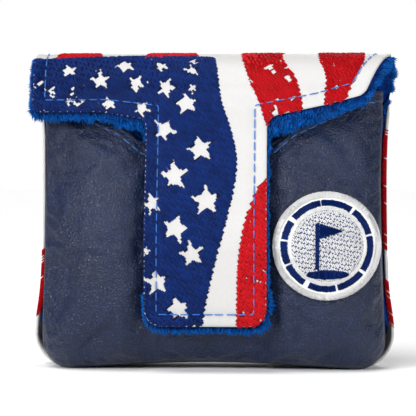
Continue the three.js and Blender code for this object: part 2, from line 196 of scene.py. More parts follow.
def spot(x, y, z):
    return np.stack(np.broadcast_arrays(x, y, z), axis=-1).astype(float)


def unit(vectors):
    return vectors / np.maximum(np.linalg.norm(vectors, axis=-1, keepdims=True), 1e-9)


def fullness(share, squareness):
    return np.maximum(1 - np.abs(share) ** squareness, 0) ** (1 / squareness)


def base_edge(share):
    foot = 1 - BASE_CORNER_RADIUS / (WAIST_HALF_WIDTH + FOOT_FLARE)
    run = np.clip((np.abs(share) - foot) / (1 - foot), 0, 1) * BASE_CORNER_RADIUS
    corner = BASE_CORNER_RADIUS - np.sqrt(BASE_CORNER_RADIUS**2 - run**2)
    return np.where(np.abs(share) < foot, BASE_ARCH * (1 - (share / foot) ** 2), corner)


def pouch_half_width(z):
    foot = FOOT_FLARE * np.maximum(1 - z / WAIST_HEIGHT, 0) ** 2
    return WAIST_HALF_WIDTH + foot + SHOULDER_FLARE * smoothstep(z, WAIST_HEIGHT, FOLD_HEIGHT)


def back_half_width(z):
    at_top = smoothstep(z, FOLD_HEIGHT - NOTCH_DEPTH, FOLD_HEIGHT)
    low = LOW_BULGE * np.exp(-(((z - LOW_BULGE_HEIGHT) / 11) ** 2))
    return lerp(pouch_half_width(z) + BACK_OVERHANG + BACK_BULGE + low, TOP_HALF_WIDTH, at_top)


def mouth_edge(x):
    start = TONGUE_HALF_WIDTH + NOTCH_MARGIN
    step_top = start + NOTCH_STEP_RUN
    across = np.abs(x - TONGUE_CENTRE)
    steep = np.clip((across - start) / NOTCH_STEP_RUN, 0, 1)
    gentle = np.clip((across - step_top) / (WAIST_HALF_WIDTH - NOTCH_SHOULDER - step_top), 0, 1)
    return FOLD_HEIGHT - NOTCH_DEPTH + NOTCH_STEP * steep + (NOTCH_DEPTH - NOTCH_STEP) * gentle


def taper(z):
    return np.clip((z - BELLY_HEIGHT) / (FOLD_HEIGHT - BELLY_HEIGHT), 0, 1) ** TAPER_POWER


def front_full_depth(x, z):
    across = np.abs(x - TONGUE_CENTRE)
    floor = TONGUE_HALF_WIDTH - VALLEY_FLOOR_INSET
    beside = 1 - smoothstep(across, floor, TONGUE_HALF_WIDTH + VALLEY_SLOPE_REACH)
    valley = VALLEY_DEPTH * beside * (1 - smoothstep(z, FOLD_HEIGHT - NOTCH_DEPTH, FOLD_HEIGHT))
    return lerp(FRONT_DEPTH, MOUTH_DEPTH, taper(z)) - valley


def pouch_point(side, share, rise, inset):
    """A rise from 0 to 1 runs from the base to the stitch level, and from 1 to 2 on to the top edge."""
    low = base_edge(share) + inset
    high = mouth_edge(share * WAIST_HALF_WIDTH) if side < 0 else FOLD_HEIGHT
    stitch_level = high - STITCH_INSET
    z = np.where(rise < 1, lerp(low, stitch_level, rise), lerp(stitch_level, high, rise - 1))
    at_top = 0 if side < 0 else smoothstep(z, FOLD_HEIGHT - BACK_OPENING, FOLD_HEIGHT)
    half_width = (pouch_half_width(z) if side < 0 else back_half_width(z)) - inset * (1 - at_top)
    x = share * half_width
    from_base = np.clip((z - low) / BELLY_RISE, 0, 1)
    full = lerp(fullness(share, SIDE_SQUARENESS), 1, at_top) * fullness(1 - from_base, BASE_SQUARENESS)
    depth = front_full_depth(x, z) if side < 0 else lerp(BACK_DEPTH, FOLD_RADIUS, taper(z))
    seam = SEAM_SETBACK * smoothstep(z, WAIST_HEIGHT, FOLD_HEIGHT)
    from_seam = (LAYER_GAP / 2) * (1 - at_top) + (depth - side * seam - inset) * full
    lowered = z - BASE_FLATTENING * np.maximum(1 - rise, 0)
    return spot(x, SEAM_Y + seam + side * from_seam, np.maximum(lowered, np.maximum(inset, 0)))


def fold_point(x, degrees, inset):
    """An angle of 0 is at the back of the fold, 90 at its top and 180 at its front."""
    radius = FOLD_RADIUS - inset
    angle = np.radians(degrees)
    return spot(x, SEAM_Y + radius * np.cos(angle), FOLD_HEIGHT + radius * np.sin(angle))


def flap_depth(x, z):
    flat = fullness(x / (TOP_HALF_WIDTH + ARM_FLATNESS), SIDE_SQUARENESS)
    base = fullness(1 - np.clip(z / BELLY_RISE, 0, 1), BASE_SQUARENESS)
    lying = front_full_depth(x, z) * flat * base + STACK
    leaving = np.clip((FOLD_HEIGHT - z) / FLAP_LIFT, 0, 1)
    return lerp(FOLD_RADIUS, lying, leaving * (2 - leaving))


def flap_point(x, along, inset):
    """On the flap, along is the height, and above the fold's axis it goes on as length of leather."""
    past = np.maximum(along - FOLD_HEIGHT, 0)
    on_fold = fold_point(x, 180 - np.degrees(past / FOLD_RADIUS), inset)
    on_front = spot(x, SEAM_Y - flap_depth(x, along) + inset, along)
    return np.where(np.asarray(along > FOLD_HEIGHT)[..., None], on_fold, on_front)


GIRTH_SHARES = np.sin(np.linspace(0, math.pi / 2, 400))
GIRTH_STEPS = np.hypot(np.diff(GIRTH_SHARES) * WAIST_HALF_WIDTH,
                       np.diff(fullness(GIRTH_SHARES, SIDE_SQUARENESS)) * BACK_DEPTH)
GIRTH = np.concatenate([[0], np.cumsum(GIRTH_STEPS)])
HALF_GIRTH = GIRTH[-1]


def girth(share):
    """How far across the back's leather a share of its half width lies, from its middle."""
    return np.sign(share) * np.interp(np.abs(share), GIRTH_SHARES, GIRTH)


def back_point(across, along, inset):
    """On the back, across runs over the leather from its middle, and along runs from the base."""
    share = np.sign(across) * np.interp(np.abs(across), GIRTH, GIRTH_SHARES)
    stitch_level = FOLD_HEIGHT - STITCH_INSET
    above = 1 + (along - stitch_level) / STITCH_INSET
    rise = np.clip(np.where(along < stitch_level, along / stitch_level, above), 0, 2)
    past = np.maximum(along - FOLD_HEIGHT, 0)
    on_fold = fold_point(share * TOP_HALF_WIDTH, np.degrees(past / FOLD_RADIUS), inset)
    on_back = pouch_point(1, share, rise, inset)
    return np.where(np.asarray(along > FOLD_HEIGHT)[..., None], on_fold, on_back)


def front_point(share, rise, inset):
    return pouch_point(-1, share, rise, inset)


class Ripples:
    """Smooth unevenness over a flat sheet, between about -1 and 1: a few waves in seeded directions."""

    def __init__(self, seed, length, count=7):
        rng = np.random.default_rng(seed)
        self.turn = rng.uniform(0, 2 * math.pi, count)
        self.phase = rng.uniform(0, 2 * math.pi, count)
        self.length = length * rng.uniform(0.6, 1.7, count)

    def __call__(self, x, z):
        total = 0
        for turn, phase, length in zip(self.turn, self.phase, self.length):
            total = total + np.sin((x * math.cos(turn) + z * math.sin(turn)) * 2 * math.pi / length + phase)
        return total / math.sqrt(len(self.turn))


class BadgeFrame:
    """The badge's own face, bent round the front panel beside the tongue."""

    STEP = 0.5  # over which slopes are taken

    def __init__(self):
        self.radius = BADGE_DIAMETER / 2
        self.x = TONGUE_CENTRE + TONGUE_HALF_WIDTH + LINING_REACH + BADGE_CLEARANCE + self.radius
        slope = self.seat(self.x + 1, BADGE_HEIGHT) - self.seat(self.x - 1, BADGE_HEIGHT)
        self.share_of_width = slope[0] / np.hypot(slope[0], slope[1])

    def panel_face(self, x, z):
        full = fullness(x / pouch_half_width(z), SIDE_SQUARENESS)
        return SEAM_Y - LAYER_GAP / 2 - front_full_depth(x, z) * full

    def seat(self, x, z):
        """The point straight behind a place, on the panel's face or, near the side, straight on from it."""
        bend_end = np.minimum(x, BADGE_BEND_SHARE * pouch_half_width(z))
        face = self.panel_face(bend_end, z)
        slope = (face - self.panel_face(bend_end - self.STEP, z)) / self.STEP
        return spot(x, face + slope * (x - bend_end), z)

    def __call__(self, across, up, inset):
        """A point at a height of -inset over the badge's back."""
        x, z = self.x + np.asarray(across) * self.share_of_width, BADGE_HEIGHT + np.asarray(up, float)
        over = self.seat(x + self.STEP, z) - self.seat(x - self.STEP, z)
        rise = self.seat(x, z + self.STEP) - self.seat(x, z - self.STEP)
        out = unit(np.cross(over, rise))
        return self.seat(x, z) + (LAYER_GAP - np.asarray(inset))[..., None] * out


badge = BadgeFrame()


# ---------------------------------------------------------------- flat outlines


def bend(start, corner, end, steps=7):
    t = np.linspace(0, 1, steps)[:, None]
    start, corner, end = (np.array(p, float) for p in (start, corner, end))
    return list((1 - t) ** 2 * start + 2 * t * (1 - t) * corner + t**2 * end)


def smooth_line(points, steps=8):
    """A smooth line through points, with a number of steps between each two."""
    p = np.array(points, float)
    p = np.concatenate([[2 * p[0] - p[1]], p, [2 * p[-1] - p[-2]]])
    t = np.linspace(0, 1, steps, endpoint=False)[:, None]
    line = []
    for a, b, c, d in zip(p[:-3], p[1:-2], p[2:-1], p[3:]):
        line.append(0.5 * (2 * b + (c - a) * t + (2 * a - 5 * b + 4 * c - d) * t**2
                           + (3 * b - a - 3 * c + d) * t**3))
    return np.concatenate([*line, p[-2:-1]])


def spaced(line, step, closed=False):
    """The line again, with its points an even step apart."""
    line = np.concatenate([line, line[:1]]) if closed else np.asarray(line)
    along = np.concatenate([[0], np.cumsum(np.linalg.norm(np.diff(line, axis=0), axis=1))])
    count = max(2, round(along[-1] / step))
    at = np.linspace(0, along[-1], count, endpoint=not closed)
    return np.stack([np.interp(at, along, line[:, k]) for k in range(line.shape[1])], axis=1)


def flap_edge(margin, corners=1.0, **stretches):
    """The flap's edge, left end first. A stretch may stand outside the leather by a margin of its own."""
    names = ("end", "left_end", "left_root", "left_side", "tip", "right_side", "right_root", "right_end")
    out = {name: stretches.get(name, margin) for name in names}
    left = TONGUE_CENTRE - TONGUE_HALF_WIDTH - out["left_side"]
    right = TONGUE_CENTRE + TONGUE_HALF_WIDTH + out["right_side"]
    end = TOP_HALF_WIDTH + out["end"]
    slant_foot = end - ARM_SLANT_RIGHT
    low = TONGUE_TIP + TIP_LIFT - out["tip"]
    root_left = FOLD_HEIGHT - ARM_DROP_ROOT - out["left_root"]
    root_right = FOLD_HEIGHT - ARM_DROP_ROOT - out["right_root"]
    end_left = FOLD_HEIGHT - ARM_DROP_LEFT - out["left_end"]
    end_right = FOLD_HEIGHT - ARM_DROP_RIGHT - out["right_end"]
    r, c = TONGUE_CORNER_RADIUS * corners, INNER_CORNER_RADIUS * corners
    e = 3 * corners
    return [
        (-end, FOLD_TOP),
        *bend((-end, end_left + e), (-end, end_left), (-end + e, end_left), 5),
        (-0.62 * end, lerp(end_left, root_left, 0.3) + 0.7),
        *bend((left - c, root_left), (left, root_left), (left, root_left - c)),
        *bend((left, low + r), (left, low), (left + r, low)),
        *bend((right - r, low), (right, low), (right, low + r)),
        *bend((right, root_right - c), (right, root_right), (right + c, root_right + 0.25 * c)),
        (0.62 * end, lerp(root_right, end_right, 0.55)),
        *bend((slant_foot - e, end_right - 0.17 * e), (slant_foot, end_right),
              (slant_foot + 0.4 * e, end_right + e), 5),
        (end, FOLD_TOP),
    ]


def inside(points, outline):
    """Which points lie inside a closed outline."""
    x, y = points[:, :1], points[:, 1:]
    a, b = outline, np.roll(outline, -1, axis=0)
    between = (a[:, 1] > y) != (b[:, 1] > y)
    rise = np.where(b[:, 1] == a[:, 1], 1e-12, b[:, 1] - a[:, 1])
    left_of = x < a[:, 0] + (y - a[:, 1]) * (b[:, 0] - a[:, 0]) / rise
    return (between & left_of).sum(axis=1) % 2 == 1


def distance_to(points, line):
    """How far points are from an open line, all of them flat."""
    best = np.full(len(points), np.inf)
    for a, b in zip(line[:-1], line[1:]):
        d = b - a
        t = np.clip(((points - a) @ d) / max(d @ d, 1e-12), 0, 1)
        best = np.minimum(best, np.linalg.norm(points - a - t[:, None] * d, axis=1))
    return best


def outward(outline):
    """The direction out of a closed outline at each of its points."""
    along = np.roll(outline, -1, axis=0) - np.roll(outline, 1, axis=0)
    normal = unit(np.stack([along[:, 1], -along[:, 0]], axis=1))
    probe = outline + 0.05 * normal
    return np.where(inside(probe, outline)[:, None], -normal, normal)


def raster(low, high, step):
    """Flat points an even step apart over a rectangle."""
    grid = np.stack(np.meshgrid(np.arange(low[0], high[0], step), np.arange(low[1], high[1], step)), -1)
    return grid.reshape(-1, 2)


def net(outline, step):
    """A flat net of triangles inside a closed outline, with a row of points just inside its edge."""
    edge = spaced(np.array(outline, float), step, closed=True)
    ring = edge - EDGE_ROUNDING * outward(edge)
    low, high = edge.min(axis=0), edge.max(axis=0)
    grid = raster(low, high, step)
    grid = grid[inside(grid, ring)]
    closed_ring = np.concatenate([ring, ring[:1]])
    grid = grid[distance_to(grid, closed_ring) > 0.5 * step]
    points = np.concatenate([edge, ring, grid])
    n = len(edge)
    loop = [(k, (k + 1) % n) for k in range(n)]
    found = delaunay_2d_cdt([Vector(p) for p in points], loop, [], 1, 1e-5)
    return np.array([tuple(p) for p in found[0]]), np.array(found[2])


# ---------------------------------------------------------------- meshes


def new_mesh(name, points, faces, slot, attributes=()):
    """A mesh object from points in millimetres and one or more arrays of faces, in its slot's finish."""
    groups = [np.asarray(f, np.int32) for f in (faces if isinstance(faces, list) else [faces]) if len(f)]
    sizes = np.concatenate([np.full(len(f), f.shape[1], np.int32) for f in groups])
    corners = np.concatenate([f.ravel() for f in groups])
    mesh = bpy.data.meshes.new(name)
    mesh.vertices.add(len(points))
    mesh.vertices.foreach_set("co", (np.asarray(points) * MM).ravel().astype(np.float32))
    mesh.loops.add(len(corners))
    mesh.loops.foreach_set("vertex_index", corners)
    mesh.polygons.add(len(sizes))
    mesh.polygons.foreach_set("loop_start", np.concatenate([[0], np.cumsum(sizes)[:-1]]).astype(np.int32))
    mesh.polygons.foreach_set("use_smooth", np.full(len(sizes), True))
    mesh.update(calc_edges=True)
    mesh.validate()
    rest = mesh.attributes.new("rest", "FLOAT_VECTOR", "POINT")
    rest.data.foreach_set("vector", np.asarray(points).ravel().astype(np.float32))
    for key, values in dict(attributes).items():
        attribute = mesh.attributes.new(key, "FLOAT", "POINT")
        attribute.data.foreach_set("value", np.asarray(values, np.float32))
    piece = bpy.data.objects.new(name, mesh)
    bpy.context.scene.collection.objects.link(piece)
    mesh.materials.append(FINISHES[slot])
    return piece


def open_edges(faces):
    """The edges that only one face uses, in that face's direction."""
    edges = np.concatenate([np.stack([faces[:, k], faces[:, (k + 1) % faces.shape[1]]], 1)
                            for k in range(faces.shape[1])])
    size = int(faces.max()) + 1
    key = np.sort(edges, axis=1) @ np.array([size, 1])
    values, first, count = np.unique(key, return_index=True, return_counts=True)
    return edges[first[count == 1]]


def closed_sheet(name, flat_net, surface, outer, inner, slot, relief=None, rounding=EDGE_ROUNDING):
    """A closed sheet: a flat net carried to a surface at two insets and joined round its edge."""
    flat, faces = flat_net
    rim = open_edges(faces)
    at_rim = np.zeros(len(flat), bool)
    at_rim[np.unique(rim)] = True
    lift = np.zeros(len(flat)) if relief is None else relief(flat)
    top = surface(flat[:, 0], flat[:, 1], outer + np.where(at_rim, rounding, 0) + lift)
    under = surface(flat[:, 0], flat[:, 1], inner - np.where(at_rim, rounding, 0) + lift)
    n = len(flat)
    sides = np.stack([rim[:, 1], rim[:, 0], rim[:, 0] + n, rim[:, 1] + n], axis=1)
    points = np.concatenate([top, under])
    everything = [faces, faces[:, ::-1] + n, sides]
    if enclosed(points, everything) < 0:
        everything = [f[:, ::-1] for f in everything]
    return new_mesh(name, points, everything, slot)


def enclosed(points, groups):
    """Volume times six inside a closed mesh, below zero where its faces point inwards."""
    total = 0
    for faces in groups:
        for k in range(1, faces.shape[1] - 1):
            a, b, c = points[faces[:, 0]], points[faces[:, k]], points[faces[:, k + 1]]
            total += (a * np.cross(b, c)).sum()
    return total


def grid_net(columns, rows):
    """A flat net of squares over every column and row."""
    flat = np.stack(np.meshgrid(columns, rows, indexing="ij"), axis=-1).reshape(-1, 2)
    i, j = np.meshgrid(np.arange(len(columns) - 1), np.arange(len(rows) - 1), indexing="ij")
    a = (i * len(rows) + j).ravel()
    return flat, np.stack([a, a + len(rows), a + len(rows) + 1, a + 1], axis=1)


def even_share(count):
    """Shares from -1 to 1 that crowd towards both seams."""
    return np.sin(np.linspace(-0.5, 0.5, count) * math.pi)


# ---------------------------------------------------------------- embroidery and thread


def row_spans(outline, row, direction, normal):
    """Where a row of stitches crosses an outline, as stretches along the row."""
    a, b = outline, np.roll(outline, -1, axis=0)
    da, db = a @ normal - row, b @ normal - row
    crossing = (da > 0) != (db > 0)
    if not crossing.any():
        return []
    t = da[crossing] / (da[crossing] - db[crossing])
    at = np.sort((a[crossing] + t[:, None] * (b[crossing] - a[crossing])) @ direction)
    return list(zip(at[::2], at[1::2]))


def without(spans, holes):
    """The spans with the holes cut out."""
    for low, high in holes:
        cut = []
        for a, b in spans:
            if high <= a or low >= b:
                cut.append((a, b))
                continue
            if low > a:
                cut.append((a, low))
            if high < b:
                cut.append((high, b))
        spans = cut
    return spans


def within(spans, others):
    """The stretches that two lists of spans share."""
    shared = [(max(a, c), min(b, d)) for a, b in spans for c, d in others]
    return [(a, b) for a, b in shared if b > a]


def fill_stitches(outline, holes, pitch, seed, limit=None, slant=THREAD_SLANT, ragged=0.28,
                  stitch=FILL_STITCH, draw_in=0.0):
    """Ends of the stitches that fill an outline inside a limit and outside its holes, in slanting rows."""
    rng = np.random.default_rng(seed)
    outline = np.asarray(outline, float)
    direction = np.array([math.cos(math.radians(slant)), math.sin(math.radians(slant))])
    normal = np.array([-direction[1], direction[0]])
    reach = outline @ normal
    starts, ends = [], []
    for k, row in enumerate(np.arange(reach.min(), reach.max(), pitch)):
        level = row + rng.normal(0, 0.05 * pitch)
        spans = row_spans(outline, level, direction, normal)
        if limit is not None:
            spans = within(spans, row_spans(limit, level, direction, normal))
        for hole in holes:
            spans = without(spans, row_spans(hole, level, direction, normal))
        for a, b in spans:
            a, b = a + draw_in + rng.uniform(-ragged, ragged), b - draw_in + rng.uniform(-ragged, ragged)
            if b - a < 0.35:
                continue
            first = (math.floor(a / stitch) + 0.37 * (k % 4)) * stitch
            cuts = [c + rng.normal(0, 0.15) for c in np.arange(first, b, stitch) if a + 0.8 < c < b - 0.8]
            stops = [a, *sorted(cuts), b]
            for low, high in zip(stops[:-1], stops[1:]):
                starts.append(low * direction + level * normal)
                ends.append(high * direction + level * normal)
    return np.array(starts), np.array(ends)


FULL_RIBBON = {
    "along": np.array([0, 0.08, 0.3, 0.7, 0.92, 1]),
    "arch": np.array([-0.35, 0.62, 1, 1, 0.62, -0.35]),
    "across": np.array([-0.5, -0.26, 0, 0.26, 0.5]),
    "round_top": np.array([0, 0.78, 1, 0.78, 0]),
}
UNDERLAY_RIBBON = {
    "along": np.array([0, 0.5, 1]),
    "arch": np.array([1, 1, 1]),
    "across": np.array([-0.5, 0, 0.5]),
    "round_top": np.array([0.6, 1, 0.6]),
}


def ribbons(starts, ends, width, height, surface, base, seed=0, form=FULL_RIBBON):
    """A rounded ribbon of thread for each stitch. Returns points, faces and each point's tone: random for
    each stitch, and 0 on an underlay, whose thread is painted in shade.
    """
    rng = np.random.default_rng(seed)
    along, arch, across, round_top = form["along"], form["arch"], form["across"], form["round_top"]
    run = ends - starts
    side = unit(np.stack([-run[:, 1], run[:, 0]], axis=1))
    wander = rng.normal(0, 0.03, (len(starts), 1, 1)) * np.sin(along * math.pi)[None, :, None]
    tall = height * rng.uniform(0.8, 1.15, (len(starts), 1, 1))
    middle = starts[:, None, :] + run[:, None, :] * along[None, :, None] + side[:, None, :] * wander
    spread_out = side[:, None, None, :] * (across * width)[None, None, :, None]
    flat = middle[:, :, None, :] + spread_out
    lift = base + tall * arch[None, :, None] * round_top[None, None, :]
    points = surface(flat[..., 0], flat[..., 1], -lift).reshape(-1, 3)
    m, n = len(along), len(across)
    i, j = np.meshgrid(np.arange(m - 1), np.arange(n - 1), indexing="ij")
    corner = (i * n + j).ravel()
    one = np.stack([corner, corner + n, corner + n + 1, corner + 1], axis=1)
    offsets = np.arange(len(starts)) * m * n
    # An underlay gets a tone of 0, which the thread's finish paints in its shadow colour as painted shade.
    tone = np.repeat(rng.uniform(0.25, 1, len(starts)), m * n) * (1.0 if form is FULL_RIBBON else 0.0)
    return points, (one[None] + offsets[:, None, None]).reshape(-1, 4), tone


def embroidery(name, patches, surface, slot, pitch=THREAD_PITCH, limit=None, seed=1):
    """One embroidered piece with its underlay, inside a limit. A patch is an outline and its holes."""
    points, faces, tone, offset = [], [], [], 0
    for k, (outline, holes) in enumerate(patches):
        top = fill_stitches(outline, holes, pitch, seed + 17 * k, limit)
        under = fill_stitches(outline, holes, 2 * pitch, seed + 5, limit, UNDERLAY_SLANT, ragged=0.05,
                              stitch=UNDERLAY_STITCH, draw_in=0.15)
        for (starts, ends), width, base, height, form in (
            (top, pitch, 0.12, FILL_HEIGHT, FULL_RIBBON),
            (under, 2.5 * pitch, 0.05, 0.06, UNDERLAY_RIBBON),
        ):
            p, f, t = ribbons(starts, ends, width, height, surface, base, seed, form)
            points.append(p)
            faces.append(f + offset)
            tone.append(t)
            offset += len(p)
    points, faces = np.concatenate(points), np.concatenate(faces)
    return new_mesh(name, points, outward_faces(points, faces), slot, {"tone": np.concatenate(tone)})


def outward_faces(points, faces):
    """Faces turned so that they look away from the middle of the cover."""
    a, b, c = (points[faces[:, k]] for k in range(3))
    middle = np.array([0, SEAM_Y, FOLD_HEIGHT - FOLD_RADIUS])
    reach = a - middle
    reach[:, 2] = np.maximum(reach[:, 2], 0)
    away = (np.cross(b - a, c - a) * reach).sum(axis=1)
    return np.where((away < 0)[:, None], faces[:, ::-1], faces)


def topstitches(name, path, sink, seed):
    """Separate stitches along a line on the cover. sink is the direction into the leather at each point."""
    line = spaced(np.concatenate([path, sink], axis=1), 0.2)
    along = np.concatenate([[0], np.cumsum(np.linalg.norm(np.diff(line[:, :3], axis=0), axis=1))])
    rng = np.random.default_rng(seed)
    count = int(along[-1] // TOPSTITCH_PITCH)
    begin = np.arange(count) * along[-1] / count + rng.normal(0, 0.12, count)
    long = TOPSTITCH_LENGTH * rng.uniform(0.9, 1.08, count)
    t = np.array([0, 0.07, 0.22, 0.5, 0.78, 0.93, 1])
    down = np.array([0.85, 0.35, 0.03, 0, 0.03, 0.35, 0.85])
    at = begin[:, None] + long[:, None] * t
    place = np.stack([np.interp(at, along, line[:, k]) for k in range(6)], axis=-1)
    into = unit(place[..., 3:])
    centre = place[..., :3] + into * (down * 2.4 * VISIBLE_THREAD_RADIUS)[None, :, None]
    forward = unit(np.gradient(centre, axis=1))
    side = unit(np.cross(forward, into))
    up = -into
    angles = np.arange(8) / 8 * 2 * math.pi
    cos, sin = np.cos(angles)[:, None], np.sin(angles)[:, None]
    ring = side[:, :, None] * cos + up[:, :, None] * sin
    thick = VISIBLE_THREAD_RADIUS * np.array([0.55, 0.85, 1, 1, 1, 0.85, 0.55])
    points = (centre[:, :, None] + ring * thick[None, :, None, None]).reshape(-1, 3)
    m, n = len(t), len(angles)
    i, j = np.meshgrid(np.arange(m - 1), np.arange(n), indexing="ij")
    i, j = i.ravel(), j.ravel()
    one = np.stack([i * n + j, i * n + (j + 1) % n, (i + 1) * n + (j + 1) % n, (i + 1) * n + j], axis=1)
    caps = np.array([np.arange(n)[::-1], np.arange(n) + (m - 1) * n])
    offsets = np.arange(count)[:, None, None] * m * n
    faces = [(one[None] + offsets).reshape(-1, 4), (caps[None] + offsets).reshape(-1, n)]
    return new_mesh(name, points, faces, "blue_thread")


# ---------------------------------------------------------------- plush


def strands(roots, directions, seed, length=STRAND_LENGTH, radius=STRAND_RADIUS, droop=0.25):
    """Tapered, curved strands of pile. Neighbours lean together into tufts. Returns points, faces, tip."""
    rng = np.random.default_rng(seed)
    n = len(roots)
    around = roots[:, 0] + 0.7 * roots[:, 1]
    leaning = np.stack([Ripples(seed + k, TUFT_SIZE)(around, roots[:, 2]) for k in range(3)], 1)
    lean = 0.5 * leaning + rng.normal(0, 0.13, (n, 3))
    direction = unit(directions + 0.6 * lean)
    long = (length * rng.uniform(0.7, 1.15, n) * (1 + 0.2 * leaning[:, 0]))[:, None]
    curl = 0.35 * lean + np.array([0, 0, -droop])
    side = unit(np.cross(direction, unit(rng.normal(0, 1, (n, 3)))))
    other = np.cross(direction, side)
    rings = []
    for t, thick in ((0, 1), (0.55, 0.8)):
        centre = roots + direction * long * t + curl * long * t**2
        for angle in (0, 2 * math.pi / 3, 4 * math.pi / 3):
            rings.append(centre + radius * thick * (side * math.cos(angle) + other * math.sin(angle)))
    rings.append(roots + direction * long + curl * long)
    points = np.stack(rings, axis=1).reshape(-1, 3)
    first = (np.arange(n) * 7)[:, None]
    quads = np.concatenate([first + [[k, (k + 1) % 3, 3 + (k + 1) % 3, 3 + k]] for k in range(3)])
    tips = np.concatenate([first + [[3 + k, 3 + (k + 1) % 3, 6]] for k in range(3)])
    # How far up its strand each point lies; the plush finish paints shade at the roots and highlight at the
    # tips from it.
    tip = np.tile([0, 0, 0, 0.55, 0.55, 0.55, 1], n)
    return points, quads, tips, tip


def pile(name, groups, seed):
    """One piece of pile from several groups of roots, their directions and lengths."""
    points, quads, tips, tip, offset = [], [], [], [], 0
    for k, (roots, directions, length) in enumerate(groups):
        p, q, t, v = strands(roots, directions, seed + 11 * k, length)
        points.append(p)
        quads.append(q + offset)
        tips.append(t + offset)
        tip.append(v)
        offset += len(p)
    faces = [np.concatenate(quads), np.concatenate(tips)]
    return new_mesh(name, np.concatenate(points), faces, "blue_plush", {"tip": np.concatenate(tip)})


def rim_roots(edge, surface, outer, inner, spacing, seed, lean=0.25):
    """Roots all over the cut edge of a sheet of pile, with the way each strand leaves it."""
    rng = np.random.default_rng(seed)
    line = spaced(edge, spacing)
    along = np.gradient(line, axis=0)
    out = unit(np.stack([along[:, 1], -along[:, 0]], axis=1))
    rows = np.arange(outer, inner, spacing)
    flat = np.repeat(line, len(rows), axis=0) + rng.normal(0, 0.15, (len(line) * len(rows), 2))
    away = np.repeat(out, len(rows), axis=0)
    depth = np.tile(rows, len(line)) + rng.normal(0, 0.12, len(flat))
    flat = flat - 0.35 * away
    roots = surface(flat[:, 0], flat[:, 1], depth)
    further = surface(flat[:, 0] + 0.4 * away[:, 0], flat[:, 1] + 0.4 * away[:, 1], depth)
    deeper = surface(flat[:, 0], flat[:, 1], depth + 0.4)
    share = (depth - outer) / (inner - outer) - 0.5
    return roots, unit(unit(further - roots) + lean * 2 * share[:, None] * unit(deeper - roots))


def face_roots(outline, surface, inset, step, seed, inward=1):
    """Roots spread over the face of a sheet of pile, which stand off it."""
    rng = np.random.default_rng(seed)
    low, high = outline.min(axis=0), outline.max(axis=0)
    grid = raster(low, high, step)
    flat = grid + rng.uniform(-0.5, 0.5, grid.shape) * step
    flat = flat[inside(flat, outline)]
    depth = np.full(len(flat), float(inset))
    roots = surface(flat[:, 0], flat[:, 1], depth)
    return roots, unit(surface(flat[:, 0], flat[:, 1], depth + 0.4 * inward) - roots)


# ---------------------------------------------------------------- finishes


class Wire:
    """A shader value. Arithmetic on it adds the Math nodes that work it out."""

    def __init__(self, finish, socket):
        self.finish = finish
        self.socket = socket

    def math(self, operation, *values):
        return self.finish.node("ShaderNodeMath", {"operation": operation}, dict(enumerate(values)))

    def __add__(self, other):
        return self.math("ADD", self, other)

    def __sub__(self, other):
        return self.math("SUBTRACT", self, other)

    def __rsub__(self, other):
        return self.math("SUBTRACT", other, self)

    def __mul__(self, other):
        return self.math("MULTIPLY", self, other)

    __radd__ = __add__
    __rmul__ = __mul__

    def ramp(self, low, high):
        """0 below low, 1 above high and smooth between."""
        settings = {"interpolation_type": "SMOOTHSTEP"}
        values = {"Value": self, "From Min": low, "From Max": high}
        return self.finish.node("ShaderNodeMapRange", settings, values)


class Finish:
    """A material whose nodes are made by expressions on wires."""

    def __init__(self, name, uniform):
        self.material = bpy.data.materials.new(name)
        self.material.use_nodes = True
        self.tree = self.material.node_tree
        self.shader = self.tree.nodes["Principled BSDF"]
        for socket, value in uniform.items():
            self.shader.inputs[socket].default_value = value

    def node(self, kind, settings=None, values=None, output=0):
        made = self.tree.nodes.new(kind)
        for key, value in (settings or {}).items():
            setattr(made, key, value)
        for key, value in (values or {}).items():
            if isinstance(value, Wire):
                self.tree.links.new(value.socket, made.inputs[key])
            else:
                made.inputs[key].default_value = value
        return Wire(self, made.outputs[output])

    def place(self):
        """The point on the piece at rest, in millimetres, so that the finish stays put as it bends."""
        return self.node("ShaderNodeAttribute", {"attribute_name": "rest"}, output="Vector")

    def attribute(self, name):
        return self.node("ShaderNodeAttribute", {"attribute_name": name}, output="Fac")

    def noise(self, place, per_mm, detail=3, roughness=0.55):
        values = {"Vector": place, "Scale": per_mm, "Detail": detail, "Roughness": roughness}
        return self.node("ShaderNodeTexNoise", None, values, output="Fac")

    def cells(self, place, per_mm, feature="F1"):
        return self.node("ShaderNodeTexVoronoi", {"feature": feature}, {"Vector": place, "Scale": per_mm})

    def warped(self, place, per_mm, reach):
        """A place pushed about by noise, by up to half of reach each way."""
        values = {"Vector": place, "Scale": per_mm, "Detail": 2}
        push = self.node("ShaderNodeTexNoise", None, values, output="Color")
        settings = {"operation": "MULTIPLY_ADD"}
        return self.node("ShaderNodeVectorMath", settings, {0: push, 1: (reach,) * 3, 2: place})

    def scaled(self, place, factors):
        return self.node("ShaderNodeVectorMath", {"operation": "MULTIPLY"}, {0: place, 1: factors})

    def colour(self, factor, low, high):
        """A colour from low to high as factor goes from 0 to 1."""
        low, high = (end if isinstance(end, Wire) else (*end, 1) for end in (low, high))
        return self.node("ShaderNodeMix", {"data_type": "RGBA"}, {0: factor, 6: low, 7: high}, output=2)

    def drive(self, socket, wire):
        self.tree.links.new(wire.socket, self.shader.inputs[socket])

    def relief(self, height, distance, strength=1):
        values = {"Height": height, "Distance": distance * MM, "Strength": strength}
        self.drive("Normal", self.node("ShaderNodeBump", None, values, output="Normal"))


